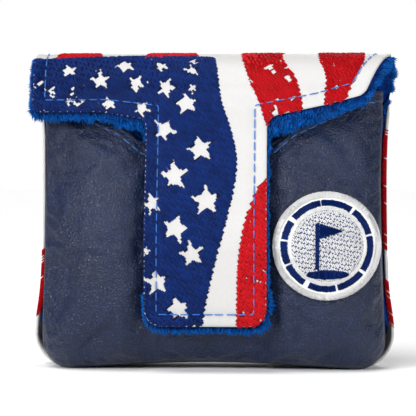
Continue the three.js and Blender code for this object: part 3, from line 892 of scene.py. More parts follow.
def navy_leather():
    """Pebbled synthetic leather, painted in shade in the creases between pebbles, whose tops catch the
    light.
    """
    f = Finish("navy_leather", {"Specular IOR Level": 0.34})
    at = f.place()
    bent = f.warped(at, 0.45, 1.1)
    pebble = f.cells(bent, 0.8, "DISTANCE_TO_EDGE").ramp(0.0, 0.32)
    fine = f.cells(bent, 1.7, "DISTANCE_TO_EDGE").ramp(0.0, 0.32)
    crease = f.noise(f.scaled(at, (0.16, 0.16, 0.3)), 1, 5)
    cloud = f.noise(at, 0.05, 3).ramp(0.3, 0.7)
    height = pebble * 0.62 + fine * 0.22 + crease * 1.0
    tone = f.colour(cloud, (0.005, 0.0175, 0.064), (0.009, 0.026, 0.09))
    # Painted shade: the colour goes darker towards the creases between the pebbles.
    f.drive("Base Color", f.colour(pebble * 0.55 + fine * 0.3, (0.0014, 0.0045, 0.02), tone))
    f.drive("Roughness", 0.4 - 0.1 * pebble + 0.06 * cloud)
    f.relief(height, 0.24, 1.0)
    return f.material


def white_leather():
    """Smooth white synthetic leather with a fine grain whose creases are painted in shade, a touch greyer
    where it is handled.
    """
    f = Finish("white_leather", {"Specular IOR Level": 0.4})
    at = f.place()
    grain = f.cells(at, 2.6, "DISTANCE_TO_EDGE").ramp(0.02, 0.4)
    cloud = f.noise(at, 0.09, 3)
    tone = f.colour(cloud.ramp(0.3, 0.75), (0.545, 0.54, 0.535), (0.5, 0.495, 0.49))
    # Painted shade: greyer towards the edges of the grain's cells, in its creases.
    f.drive("Base Color", f.colour(grain, (0.47, 0.465, 0.46), tone))
    f.drive("Roughness", 0.5 + 0.12 * cloud - 0.05 * grain)
    f.relief(grain * 0.5 + f.noise(at, 0.5, 4) * 0.7, 0.09, 0.6)
    return f.material


def blue_plush():
    """Deep royal blue pile, in painted shade nearly black at the roots and in painted highlight bright at
    the tips.
    """
    f = Finish("blue_plush", {"Roughness": 0.95, "Specular IOR Level": 0.1, "Sheen Weight": 0.12,
                              "Sheen Roughness": 0.45, "Sheen Tint": (0.05, 0.35, 1.0, 1)})
    at = f.place()
    tuft = f.noise(at, 0.35, 3).ramp(0.34, 0.66)
    fleck = f.noise(at, 1.7, 2).ramp(0.3, 0.7)
    tip = f.attribute("tip")
    # Painted shade and highlight: nearly black at the roots for the shade among the strands, bright at the
    # tips as highlight. The lining sheets carry no tip value, so they take the root shade all over.
    deep = f.colour(tuft, (0.0004, 0.009, 0.075), (0.001, 0.03, 0.19))
    bright = f.colour(fleck, (0.001, 0.095, 0.48), (0.004, 0.22, 0.8))
    f.drive("Base Color", f.colour(tip * (0.55 + 0.45 * tuft), deep, bright))
    f.relief(fleck * 0.6 + tuft * 0.4, 0.5, 0.6)
    return f.material


def thread_finish(name, shadow, dark, bright, gloss):
    """Rayon thread: fine twist along it, each stitch a little different from the next, and an underlay in
    painted shade.
    """
    f = Finish(name, {"Specular IOR Level": gloss})
    at = f.place()
    twist = f.noise(at, 5.5, 2)
    patch = f.noise(at, 0.22, 3).ramp(0.3, 0.7)
    tone = f.attribute("tone")
    lit = f.colour(0.35 * twist + 0.3 * patch + 0.35 * tone, dark, bright)
    # Painted shade: a tone of 0, as on an underlay, gives the shadow colour, for the shade in the gaps
    # between the stitches over it.
    f.drive("Base Color", f.colour(tone.ramp(0.0, 0.25), shadow, lit))
    f.drive("Roughness", 0.62 - 0.16 * twist)
    f.relief(twist, 0.05, 0.5)
    return f.material


def magnet_steel():
    """Nickel-plated disc, with a faint turned grain."""
    f = Finish("magnet_steel", {"Metallic": 1.0})
    at = f.node("ShaderNodeTexCoord", None, None, output="Object")
    brushed = f.noise(f.scaled(at, (900, 900, 4000)), 1, 3)
    f.drive("Base Color", f.colour(brushed, (0.5, 0.5, 0.51), (0.66, 0.66, 0.67)))
    f.drive("Roughness", 0.24 + 0.16 * brushed)
    f.relief(brushed, 0.02, 0.4)
    return f.material


# What each slot is made of. A thread has a shadow colour, painted shade for its underlay in the gaps, then
# a dark one, a bright one and a gloss
FINISHES = {
    "navy_leather": navy_leather(),
    "white_leather": white_leather(),
    "blue_plush": blue_plush(),
    "navy_embroidery": thread_finish("navy_embroidery", (0.0002, 0.002, 0.017), (0.0003, 0.0045, 0.042),
                                     (0.001, 0.021, 0.145), 0.12),
    "red_embroidery": thread_finish("red_embroidery", (0.16, 0.001, 0.003), (0.3, 0.001, 0.003),
                                    (0.5, 0.0025, 0.008), 0.14),
    "white_embroidery": thread_finish("white_embroidery", (0.46, 0.46, 0.47), (0.6, 0.6, 0.6),
                                      (0.78, 0.78, 0.78), 0.3),
    "blue_thread": thread_finish("blue_thread", (0.03, 0.14, 0.44), (0.03, 0.14, 0.44),
                                 (0.08, 0.29, 0.7), 0.3),
}
STEEL = magnet_steel()


# ---------------------------------------------------------------- which body a piece joins, and which parts of the model it stands in for

FOLD_BACK = fold_point(0, 0, 0) * MM
FOLD_CREST = fold_point(0, 90, 0) * MM
FOLD_FRONT = fold_point(0, 180, 0) * MM


def bends_at_back(piece, *nodes):
    """A piece that runs from the pouch up over the back half of the fold."""
    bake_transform(piece)
    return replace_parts(piece, *nodes) if nodes else piece


def bends_at_front(piece, *nodes):
    """A piece that runs from the crest of the fold down the flap."""
    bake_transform(piece)
    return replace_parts(piece, *nodes) if nodes else piece


def on_pouch(piece, *nodes):
    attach(piece, "pouch")
    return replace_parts(piece, *nodes) if nodes else piece


# ---------------------------------------------------------------- stuffing

SIM_FRAMES = 20
SIM_PRESSURE = 4
SIM_QUALITY = 5
CLOTH_STIFFNESS = 12
CLOTH_BENDING = 0.35
FRONT_SLACK = 0.03  # share by which the leather is cut larger than what it is stretched over
BACK_SLACK = 0.004
FRONT_LARGEST_MOVE = 2.6
BACK_LARGEST_MOVE = 2.2
HELD_SHARE = 0.985  # of the half width, beyond which a panel is held by its seam
ROW_CROWDING = 1.15


class Stuffing:
    """How a padded panel settles: a cloth simulated under pressure, held where it is sewn or pressed."""

    def __init__(self, name, surface, columns, rows, held, slack, largest_move):
        self.columns, self.rows = columns, rows
        flat, faces = grid_net(columns, rows)
        start = surface(flat[:, 0], flat[:, 1], np.zeros(len(flat)))
        self.moved = np.zeros((len(columns), len(rows), 3))
        mesh = bpy.data.meshes.new(name)
        mesh.from_pydata((start * MM).tolist(), [], outward_faces(start, faces).tolist())
        cloth = bpy.data.objects.new(name, mesh)
        bpy.context.scene.collection.objects.link(cloth)
        grip = cloth.vertex_groups.new(name="held")
        grip.add(np.where(held(flat, start))[0].tolist(), 1.0, "REPLACE")
        modifier = cloth.modifiers.new("cloth", "CLOTH")
        settings = modifier.settings
        settings.quality = SIM_QUALITY
        settings.tension_stiffness = settings.compression_stiffness = CLOTH_STIFFNESS
        settings.bending_stiffness = CLOTH_BENDING
        settings.shrink_min = -slack
        settings.use_pressure = True
        settings.uniform_pressure_force = SIM_PRESSURE
        settings.effector_weights.gravity = 0
        settings.vertex_group_mass = "held"
        modifier.point_cache.frame_start = 1
        modifier.point_cache.frame_end = SIM_FRAMES
        for moment in range(1, SIM_FRAMES + 1):
            bpy.context.scene.frame_set(moment)
        shape = cloth.evaluated_get(bpy.context.evaluated_depsgraph_get()).to_mesh()
        end = np.array([v.co for v in shape.vertices]) / MM
        bpy.data.objects.remove(cloth)
        bpy.context.scene.frame_set(1)
        moved = end - start
        far = np.linalg.norm(moved, axis=1, keepdims=True)
        moved = moved * np.minimum(1, largest_move / np.maximum(far, 1e-9))
        self.moved = moved.reshape(self.moved.shape)

    def __call__(self, across, along):
        """The move at places between the simulated points."""
        i = np.interp(across, self.columns, np.arange(len(self.columns)))
        j = np.interp(along, self.rows, np.arange(len(self.rows)))
        i0 = np.minimum(i.astype(int), len(self.columns) - 2)
        j0 = np.minimum(j.astype(int), len(self.rows) - 2)
        s, t = (i - i0)[..., None], (j - j0)[..., None]
        near = lerp(self.moved[i0, j0], self.moved[i0 + 1, j0], s)
        return lerp(near, lerp(self.moved[i0, j0 + 1], self.moved[i0 + 1, j0 + 1], s), t)


# ---------------------------------------------------------------- front panel

fine_folds = Ripples(9, 11)
broad_swell = Ripples(21, 48)


def front_relief(flat):
    """Softness of the padded front: swells, creases that run down from the mouth, a sunk stitch line."""
    share, rise = flat[:, 0], flat[:, 1]
    x = share * WAIST_HALF_WIDTH
    z = rise * (FOLD_HEIGHT - NOTCH_DEPTH)
    calm = fullness(share, 2) * np.clip(rise / 0.12, 0, 1)
    beside = np.exp(-((np.abs(x - TONGUE_CENTRE) - TONGUE_HALF_WIDTH - 5) / 11) ** 2)
    free = np.clip((np.hypot(x - badge.x, z - BADGE_HEIGHT) - badge.radius) / 6, 0, 1)
    swell = SWELL * broad_swell(x, z) * calm * free
    creases = CREASE * fine_folds(x * 1.5, z * 0.6) * calm * (0.35 + beside) * free
    stitch_groove = MOUTH_GROOVE * np.exp(-((rise - 1) / 0.012) ** 2)
    return swell + creases + stitch_groove


def front_is_held(flat, points):
    """The front panel is held at its seams and mouth, under the tongue and under the badge."""
    at_edge = (np.abs(flat[:, 0]) > HELD_SHARE) | (flat[:, 1] < 0.03) | (flat[:, 1] > 0.97)
    under_tongue = np.abs(points[:, 0] - TONGUE_CENTRE) < TONGUE_HALF_WIDTH - 1
    from_badge = np.hypot(points[:, 0] - badge.x, points[:, 2] - BADGE_HEIGHT)
    return at_edge | (under_tongue & (points[:, 2] > TONGUE_TIP)) | (from_badge < badge.radius + 1)


front_stuffing = Stuffing("front_stuffing", front_point, even_share(104),
                          np.linspace(0, 1, 84) ** ROW_CROWDING, front_is_held, FRONT_SLACK,
                          FRONT_LARGEST_MOVE)


def stuffed_front_point(share, rise, inset):
    return front_point(share, rise, inset) + front_stuffing(share, rise)


def front_lining_relief(flat):
    return LINING_SWELL * fine_folds(flat[:, 0] * 61, flat[:, 1] * 80)


def make_front():
    rows = np.concatenate([np.linspace(0, 1, 130)[:-1] ** ROW_CROWDING, np.linspace(1, 2, 9)])
    panel = closed_sheet("front_panel_leather", grid_net(even_share(180), rows), stuffed_front_point, 0,
                         LEATHER_THICKNESS, "navy_leather", front_relief, LEATHER_ROUNDING)
    on_pouch(panel, "front_panel")

    rows = np.concatenate([np.linspace(0.02, 1, 40), [1.5, 2]])
    lining = closed_sheet("front_lining_plush", grid_net(even_share(60), rows), stuffed_front_point,
                          LINING_OUTER, LINING_INNER, "blue_plush", front_lining_relief, PLUSH_ROUNDING)
    on_pouch(lining, "front_lining")

    shares = even_share(260)
    shares = shares[np.abs(shares) < 0.965]
    level = np.ones_like(shares)
    path = stuffed_front_point(shares, level, MOUTH_GROOVE - 0.42 * THREAD_RADIUS)
    under = stuffed_front_point(shares, level, UNDER_STITCH)
    on_pouch(topstitches("mouth_topstitches", path, under - path, 5), "mouth_topstitch")


def make_front_pile():
    """Pile along the top edge of the front's lining, and inside the mouth."""
    rng = np.random.default_rng(31)
    across = np.linspace(-0.96, 0.96, 300)
    level = np.full(300, 1.98)
    roots, out = [], []
    for depth in np.arange(LINING_OUTER + 0.3, LINING_INNER, 0.55):
        here = across + rng.normal(0, 0.003, len(across))
        roots.append(stuffed_front_point(here, level, depth))
        out.append(unit(front_point(here, level, depth) - front_point(here, level - 0.2, depth)))
    share = rng.uniform(-0.93, 0.93, 2600)
    rise = rng.uniform(0.55, 1.95, 2600)
    inner = stuffed_front_point(share, rise, LINING_INNER)
    inward = unit(stuffed_front_point(share, rise, LINING_INNER + 0.5) - inner)
    edge = (np.concatenate(roots), np.concatenate(out), PILE["front_edge"])
    face = (inner, inward, PILE["front_face"])
    on_pouch(pile("front_lining_pile", [edge, face], 40))


# ---------------------------------------------------------------- back panel and the back half of the crown

STRIPE_SHARES = {
    "outer_left": (-0.86, -0.64),
    "inner_left": (-0.36, -0.1),
    "inner_right": (0.17, 0.4),
    "outer_right": (0.6, 0.84),
}
STRIPE_WAVE = 0.04

back_swell = Ripples(33, 46)


def back_relief(flat):
    along = np.clip(flat[:, 1] / FOLD_HEIGHT, 0, 1)
    middle = fullness(flat[:, 0] / HALF_GIRTH, 2)
    calm = middle * np.clip(along / 0.1, 0, 1) * np.clip((1 - along) / 0.1, 0, 1)
    return SWELL * back_swell(flat[:, 0], flat[:, 1]) * calm


def back_is_held(flat, _):
    at_seam = np.abs(flat[:, 0]) > HELD_SHARE * HALF_GIRTH
    return at_seam | (flat[:, 1] < 3) | (flat[:, 1] > FOLD_HEIGHT - 5)


back_stuffing = Stuffing("back_stuffing", back_point, even_share(100) * HALF_GIRTH,
                         np.linspace(0, FOLD_HEIGHT, 80), back_is_held, BACK_SLACK, BACK_LARGEST_MOVE)


def stuffed_back_point(across, along, inset):
    return back_point(across, along, inset) + back_stuffing(across, along)


def back_fill_point(across, along, inset):
    flat = np.stack([np.ravel(across), np.ravel(along)], axis=1)
    return stuffed_back_point(across, along, inset + back_relief(flat).reshape(np.shape(across)))


def back_band(low, high, start, stop):
    """The outline of a wavy band up the back, between two shares of its half width."""
    along = np.linspace(start, stop, 60)
    rise = np.clip(along / (FOLD_HEIGHT - STITCH_INSET), 0, 1)
    wave = STRIPE_WAVE * np.sin(2 * math.pi * (1 - rise)) * np.clip((0.99 - abs(high)) / 0.1, 0, 1)
    left = np.stack([girth(np.clip(low + wave, -1, 1)), along], axis=1)
    right = np.stack([girth(np.clip(high + wave, -1, 1)), along], axis=1)
    return np.concatenate([left, right[::-1]])


# Where the outermost stripes' cloth shows on the leather's cut edge: side, and the heights of each stretch
SIDE_STRIPES = {"outer_left": (-1, [(8, 36)]), "outer_right": (1, [(4, 23), (36, 86)])}


def side_point(side):
    """On the back leather's edge face: across is the depth below its outer face, and along the height."""
    def surface(across, along, inset):
        point = stuffed_back_point(side * HALF_GIRTH + 0 * across, along, across)
        return point + np.stack([0 * inset, inset + EDGE_ROUNDING * 0.2, 0 * inset], axis=-1)
    return surface


def side_stripe(name, seed):
    """Where an outermost stripe's cloth shows on the leather's cut edge."""
    side, stretches = SIDE_STRIPES[name]
    rng = np.random.default_rng(seed)
    heights = np.concatenate([np.arange(low, high, 0.55) for low, high in stretches])
    heights = heights[rng.uniform(size=len(heights)) > 0.06]
    starts = np.stack([np.full(len(heights), -0.15), heights], axis=1)
    ends = np.stack([LEATHER_THICKNESS + rng.uniform(0.1, 0.6, len(heights)), heights + 0.3], axis=1)
    points, faces, tone = ribbons(starts, ends, 0.6, 0.3, side_point(side), 0.15, seed)
    faces = outward_faces(points, faces)
    on_pouch(new_mesh(f"side_stripe_{name}_thread", points, faces, "red_embroidery", {"tone": tone}))


def back_stripe(name, shares):
    """One wavy red stripe, from near the base up the back to the crest of the fold."""
    seed = sum(map(ord, name))
    outline = back_band(*shares, 9, FOLD_TOP - 0.2)
    patches = [(outline, wear_chips(outline, 14, seed, 0.9))]
    piece = embroidery(f"back_stripe_{name}_thread", patches, back_fill_point, "red_embroidery",
                       BACK_THREAD_PITCH, seed=seed)
    bends_at_back(piece, f"back_stripe_{name}", f"crown_stripe_{name}")
    if name in SIDE_STRIPES:
        side_stripe(name, seed)


def make_back():
    low_rows = np.linspace(0, 1, 110)[:-1] ** 1.2 * FOLD_HEIGHT
    rows = np.concatenate([low_rows, np.linspace(FOLD_HEIGHT, FOLD_TOP, 24)])
    panel = closed_sheet("back_panel_leather", grid_net(np.linspace(-1, 1, 150) * HALF_GIRTH, rows),
                         stuffed_back_point, 0, LEATHER_THICKNESS, "white_leather", back_relief,
                         LEATHER_ROUNDING)
    bends_at_back(panel, "back_panel")

    rows = np.concatenate([np.linspace(2, FOLD_HEIGHT, 40)[:-1], np.linspace(FOLD_HEIGHT, FOLD_TOP, 12)])
    lining = closed_sheet("back_lining_plush", grid_net(np.linspace(-1, 1, 56) * HALF_GIRTH, rows),
                          stuffed_back_point, LINING_OUTER, LINING_INNER, "blue_plush",
                          rounding=PLUSH_ROUNDING)
    bends_at_back(lining, "back_lining")
    for name, shares in STRIPE_SHARES.items():
        back_stripe(name, shares)


def make_back_pile():
    """Pile along the sides of the opening, and inside it."""
    groups = []
    heights = np.linspace(FOLD_HEIGHT - 9, FOLD_TOP, 70)
    for side in (-1, 1):
        edge = np.stack([np.full(len(heights), side * HALF_GIRTH), heights], axis=1)[::side]
        roots, out = rim_roots(edge, stuffed_back_point, LINING_OUTER, LINING_INNER, 0.42, 50 + side)
        out[:, 0] = side * np.abs(out[:, 0])
        groups.append((roots, out, PILE["back_edge"]))
    wide = girth(0.95)
    patch = np.array([(-wide, 60), (wide, 60), (wide, FOLD_TOP), (-wide, FOLD_TOP)], float)
    roots, inward = face_roots(patch, stuffed_back_point, LINING_INNER, 1.5, 61)
    groups.append((roots, inward, PILE["back_face"]))
    bends_at_back(pile("back_lining_pile", groups, 60))


# ---------------------------------------------------------------- flap


def wear_chips(outline, count, seed, size):
    """Small ragged flakes where the embroidery has been left out, as if worn."""
    rng = np.random.default_rng(seed)
    outline = np.asarray(outline, float)
    low, high = outline.min(axis=0), outline.max(axis=0)
    spots = rng.uniform(low, high, (count * 8, 2))
    spots = spots[inside(spots, outline)][:count]
    chips = []
    for at in spots:
        angles = np.sort(rng.uniform(0, 2 * math.pi, 7))
        radii = size * rng.uniform(0.35, 1, 7) * rng.choice([0.35, 0.6, 1])
        stretch = rng.uniform(0.6, 1.7)
        chips.append(at + np.stack([np.cos(angles) * radii * stretch, np.sin(angles) * radii], axis=1))
    return chips


def star(x, along, radius, turn, squeeze=1.0, seed=0):
    """A hand-cut five-pointed star, a little uneven."""
    rng = np.random.default_rng(seed)
    angles = math.radians(90 + turn) + np.arange(10) * math.pi / 5
    radii = radius * np.where(np.arange(10) % 2, 0.47, 1) * rng.uniform(0.86, 1.12, 10)
    return np.stack([x + radii * np.cos(angles), along + squeeze * radii * np.sin(angles)], axis=1)


# Stars, arm first and then down the tongue: across and along the leather, radius, turn and squeeze
STARS = [
    (-52.5, 109, 3.9, 12, 0.72), (-31.5, 111, 4.1, 20, 0.8), (-18.5, 110.5, 3.4, -35, 0.9),
    (-7.5, 109, 3.5, 8, 0.8), (-40.5, 105, 4.0, 6, 0.95), (-27.5, 103.5, 3.7, -28, 1.0),
    (-16.5, 102.5, 4.0, -22, 1.0), (-7, 102, 2.1, 30, 1.0), (-9, 96.5, 5.0, 10, 0.9),
    (-37, 96.5, 3.1, 25, 1.0), (-25, 94.5, 3.4, 40, 1.0), (-17, 87, 4.9, -28, 1.0),
    (-4, 80, 5.6, 14, 1.0), (-13, 70.5, 5.6, 6, 1.0), (-1.5, 62, 5.6, 4, 1.0),
    (-20.8, 60.5, 3.6, 20, 1.2), (-12.5, 52, 5.6, -14, 1.0), (-6.5, 43, 5.3, 12, 1.0),
    (-19, 33, 5.2, 8, 1.0), (-11.5, 23.3, 5.0, 16, 1.0), (-22.5, 44, 1.6, 0, 1.3),
]
WORN_STARS = [(-61, 102, 3.0), (-49, 99, 3.2), (-4.5, 18.5, 1.6), (-6, 113, 2.2), (-42, 109, 1.8)]


def worn_patch(x, along, reach, seed):
    """What is left of a star that has mostly worn away: a cluster of flakes."""
    rng = np.random.default_rng(seed)
    box = np.array([(x - reach, along - reach), (x + reach, along - reach), (x + reach, along + reach),
                    (x - reach, along + reach)])
    return wear_chips(box, 9, int(rng.integers(1e6)), 0.5 * reach)


def tongue(share, drop):
    return (TONGUE_CENTRE + share * TONGUE_HALF_WIDTH, FOLD_HEIGHT - drop)


def arm(share, drop):
    return (share * TOP_HALF_WIDTH, FOLD_HEIGHT - drop)


CANTON_EDGE = [tongue(0.11, -14.6), tongue(0.18, -5), tongue(0.24, 3.5), tongue(0.4, 14), tongue(0.5, 24),
               tongue(0.47, 34), tongue(0.3, 50), tongue(0.13, 64), tongue(-0.02, 80), tongue(-0.06, 90)]
TONGUE_STRIPE_EDGE = [tongue(1.3, 27), tongue(0.94, 33), tongue(0.74, 41), tongue(0.6, 52),
                      tongue(0.53, 66), tongue(0.51, 90)]
CANTON_TOP = [(-2 * TOP_HALF_WIDTH, 6.6), (-60, 7.4), (-45, 6.1), (-32, 5.2), (-20, 5.0), (-9, 5.8)]
# Each stripe's left and right edge, and how many worn chips it has and of what size
ARM_STRIPES = {
    "arm_stripe_inner": (
        [arm(0.16, -21), arm(0.17, -12), arm(0.21, -3), arm(0.26, 4), arm(0.31, 14)],
        [arm(0.38, -21), arm(0.4, -12), arm(0.46, -5), arm(0.5, 4), arm(0.49, 14)],
        20, 2.0,
    ),
    "arm_stripe_outer": (
        [arm(0.59, -21), arm(0.6, -12), arm(0.63, -6), arm(0.63, 0), arm(0.61, 14)],
        [arm(0.85, -21), arm(0.84, -12), arm(0.79, -4), arm(0.75, 2), arm(0.73, 14)],
        16, 1.1,
    ),
}


# The lining shows most where the arms meet the tongue, and hardly at all beside the tongue
PLUSH_EDGE = np.array(flap_edge(1.4, end=0.7, left_root=3.0, left_side=-0.5, right_side=0.5, right_root=5.2,
                                right_end=2.2, tip=1.0))
STITCH_LINE = np.array(flap_edge(-STITCH_INSET, corners=0.15))
stitch_line = spaced(STITCH_LINE, 1.2)
flap_swell = Ripples(55, 38)


def flap_relief(flat):
    """The topstitch pulls the leather in along its line, and the leather swells softly between."""
    groove = FLAP_GROOVE * np.exp(-((distance_to(flat, stitch_line) / 1.1) ** 2))
    calm = np.clip((FOLD_TOP - flat[:, 1]) / 12, 0, 1)
    return groove + FLAP_SWELL * flap_swell(flat[:, 0], flat[:, 1]) * calm


def flap_fill_point(x, along, inset):
    flat = np.stack([np.ravel(x), np.ravel(along)], axis=1)
    return flap_point(x, along, inset + flap_relief(flat).reshape(np.shape(x)))


def make_flap():
    leather = closed_sheet("flap_leather", net(flap_edge(0), 1.3), flap_point, 0, LEATHER_THICKNESS,
                           "white_leather", flap_relief, FLAP_ROUNDING)
    bends_at_front(leather, "flap_cover", "crown_cover")

    lining = closed_sheet("flap_lining_plush", net(PLUSH_EDGE, 1.9), flap_point, LINING_OUTER,
                          LINING_INNER, "blue_plush", rounding=FLAP_LINING_ROUNDING)
    bends_at_front(lining, "flap_lining", "crown_lining")

    line = spaced(STITCH_LINE, 0.5)
    line = line[line[:, 1] < FOLD_TOP - 0.6]
    path = flap_fill_point(line[:, 0], line[:, 1], np.full(len(line), -0.52))
    under = flap_fill_point(line[:, 0], line[:, 1], np.full(len(line), 0.6))
    bends_at_front(topstitches("flap_topstitches", path, under - path, 6), "flap_topstitch")


def make_flap_pile():
    """Pile along the flap's edge, all over its inside, and on the strip that shows beyond the leather."""
    rim = spaced(PLUSH_EDGE, 0.4)
    roots, out = rim_roots(rim, flap_point, LINING_OUTER + 0.1, LINING_INNER, 0.5, 70)
    beside_tongue = (roots[:, 2] < FOLD_HEIGHT - ARM_DROP_ROOT - 8) & (roots[:, 2] > TONGUE_TIP + 14)
    at_end = np.abs(roots[:, 0]) > TOP_HALF_WIDTH - 1
    long = np.where(at_end, PILE["arm_end"], STRAND_LENGTH)
    long = np.where(beside_tongue, PILE["tongue_side"], long)
    face, inward = face_roots(np.array(flap_edge(0.6)), flap_point, LINING_INNER, 1.15, 71)
    shown, forward = face_roots(PLUSH_EDGE, flap_point, LINING_OUTER, 0.62, 73, -1)
    bare = ~inside(shown[:, ::2], np.array(flap_edge(0.1))) & (shown[:, 2] < FOLD_HEIGHT)
    shown, forward = shown[bare], unit(forward[bare] + [0, 0, -1.1])
    groups = [(roots, out, long), (face, inward, PILE["flap_under"]), (shown, forward, PILE["flap_shown"])]
    bends_at_front(pile("flap_lining_pile", groups, 72))


def flap_embroidery(name, outline, holes, slot, seed, node):
    """A piece of embroidery on the flap, cut off at the leather's edge."""
    limit = np.array(flap_edge(-FILL_INSET), float)
    piece = embroidery(name, [(outline, holes)], flap_fill_point, slot, limit=limit, seed=seed)
    bends_at_front(piece, node)


def make_canton():
    """The navy field with its stars, which are left out of the stitching so that the leather shows."""
    top = [(x, FOLD_TOP - drop) for x, drop in CANTON_TOP]
    edge = smooth_line(CANTON_EDGE)
    canton = np.array([*top, *edge, (-2 * TOP_HALF_WIDTH, edge[-1][1])], float)
    holes = [star(*place, seed=k) for k, place in enumerate(STARS)]
    for k, place in enumerate(WORN_STARS):
        holes += worn_patch(*place, 200 + k)
    holes += wear_chips(flap_edge(-FILL_INSET), 130, 77, 0.42)
    flap_embroidery("canton_thread", canton, holes, "navy_embroidery", 3, "canton_embroidery")


def make_flap_stripes():
    line = smooth_line(TONGUE_STRIPE_EDGE)
    beyond = 2 * TONGUE_HALF_WIDTH
    stripe = np.array([*line, (beyond, line[-1][1]), (beyond, line[0][1])])
    holes = wear_chips(stripe, 64, 78, 1.1)
    flap_embroidery("tongue_stripe_thread", stripe, holes, "red_embroidery", 4, "tongue_stripe_embroidery")

    for k, (name, (left, right, chips, chip_size)) in enumerate(ARM_STRIPES.items()):
        outline = np.array([*smooth_line(left), *smooth_line(right)[::-1]])
        holes = wear_chips(outline, chips, 80 + k, chip_size)
        flap_embroidery(f"{name}_thread", outline, holes, "red_embroidery", 5 + k, f"{name}_embroidery")

    patches = []
    for name in ("outer_left", "inner_left"):
        low, high = (share * TOP_HALF_WIDTH for share in STRIPE_SHARES[name])
        patch = [(low, FOLD_TOP), (high, FOLD_TOP), (high + 1, FOLD_TOP - 5.4), (low - 1.5, FOLD_TOP - 7.6)]
        patches.append((np.array(patch, float), []))
    piece = embroidery("crown_stripe_front_thread", patches, flap_fill_point, "red_embroidery", seed=9)
    bends_at_front(piece)


# ---------------------------------------------------------------- badge


def circle(radius):
    angles = np.arange(BADGE_SIDES) * 2 * math.pi / BADGE_SIDES
    return np.stack([radius * np.cos(angles), radius * np.sin(angles)], axis=1)


def badge_fill(node, slot, stitches, seed, width=0.48, height=0.5, base=1.25):
    """One embroidered layer of the badge, whose thread starts at a base height over the badge's back."""
    points, faces, tone = ribbons(*stitches, width, height, badge, base, seed)
    piece = new_mesh(f"{node}_thread", points, outward_faces(points, faces), slot, {"tone": tone})
    on_pouch(piece, node)


def satin_ring(inner, outer, seed, ragged, gaps=()):
    """Stitches straight across a ring, all the way round, left out at the gaps."""
    rng = np.random.default_rng(seed)
    count = round(2 * math.pi * outer / SATIN_RING_PITCH)
    angles = np.arange(count) * 2 * math.pi / count
    for low, high in gaps:
        angles = angles[(np.degrees(angles) < low) | (np.degrees(angles) > high)]
    out = np.stack([np.cos(angles), np.sin(angles)], axis=1)
    low = inner + rng.uniform(-ragged, ragged, (len(angles), 1))
    high = outer + rng.uniform(-ragged, ragged, (len(angles), 1))
    return out * low, out * high


def badge_disc(name, radius, low, high, slot):
    """A round layer of the badge, between two heights over its back."""
    edge, n = circle(radius), BADGE_SIDES
    shares = (0.12, 0.35, 0.6, 0.82, 0.95, 1.0)
    rings = [(share, high) for share in shares] + [(share, low) for share in shares[::-1]]
    points = np.concatenate([badge(share * edge[:, 0], share * edge[:, 1], np.full(n, -height))
                             for share, height in rings])
    here = np.arange(n)
    after = (here + 1) % n
    bands = [np.stack([k * n + here, k * n + after, (k + 1) * n + after, (k + 1) * n + here], axis=1)
             for k in range(len(rings) - 1)]
    caps = np.array([here[::-1], here + (len(rings) - 1) * n])
    return new_mesh(name, points, [*bands, caps], slot, {"tone": np.full(len(points), 0.8)})


RING_GAPS = [  # in degrees round the ring, where the stitching is broken
    (12, 15), (52, 56), (97, 99), (140, 146), (171, 174), (203, 206), (238, 244), (282, 285), (321, 326),
]


def make_badge():
    radius = badge.radius
    border_inner = radius - BADGE_BORDER_WIDTH
    field_radius = border_inner - BADGE_RING_WIDTH
    backing = badge_disc("badge_backing_twill", radius - 0.4, 0, 0.85, "white_embroidery")
    on_pouch(backing, "badge_backing")
    # Painted shade: a dark navy disc under the field, partly its dark backing and partly the shade that
    # shows between the field's stitches.
    on_pouch(badge_disc("badge_field_shade_ground", field_radius + 0.3, 0.7, 0.96, "navy_embroidery"))

    border = satin_ring(border_inner, radius, 91, 0.06)
    badge_fill("badge_border", "white_embroidery", border, 91, 0.5, 0.85, 0.8)
    ring = satin_ring(field_radius + 1.5, border_inner - 0.5, 92, 0.12, RING_GAPS)
    badge_fill("badge_ring", "navy_embroidery", ring, 92, 0.5, 0.5, 0.85)

    rim_starts, rim_ends = satin_ring(field_radius, field_radius + 1.3, 93, 0.05)
    starts, ends = fill_stitches(circle(field_radius + 0.2), [], 0.62, 94, None, -58, 0.1, 2.2)
    shorten = 0.06 * (ends - starts)
    field = np.concatenate([rim_starts, starts + shorten]), np.concatenate([rim_ends, ends - shorten])
    badge_fill("badge_field", "white_embroidery", field, 94, 0.55, 0.42, 0.95)
    make_motif()


def make_motif():
    """A plain flagstick with its pennant over a patch of green, in satin stitch."""
    stick_width, stick_height, pennant_length, pennant_height = 1.5, 16, 8.4, 5.8
    green_width, green_height = 15, 3.6
    left = -pennant_length / 2
    levels = np.arange(-stick_height / 2, stick_height / 2, SATIN_PITCH)
    starts = np.stack([np.full(len(levels), left - 0.1), levels], axis=1)
    stick = starts, starts + [stick_width, 0.25]
    badge_fill("badge_flagstick", "navy_embroidery", stick, 96)

    columns = np.arange(0, pennant_length - 0.5, SATIN_PITCH)
    half = pennant_height / 2 * (1 - columns / pennant_length)
    middle = stick_height / 2 - pennant_height / 2
    across = left + stick_width + 0.2 + columns
    pennant = np.stack([across, middle - half], axis=1), np.stack([across, middle + half], axis=1)
    badge_fill("badge_pennant", "navy_embroidery", pennant, 97, height=0.55)

    columns = np.arange(-green_width / 2 + 0.3, green_width / 2, SATIN_PITCH)
    half = green_height / 2 * fullness(columns / (green_width / 2), 2)
    middle = -stick_height / 2 - LAYER_GAP - green_height / 2
    green = np.stack([columns, middle - half], axis=1), np.stack([columns + 0.2, middle + half], axis=1)
    badge_fill("badge_green", "navy_embroidery", green, 98)


# ---------------------------------------------------------------- studio

COVER_MIDDLE = (0, 0, 0.055)

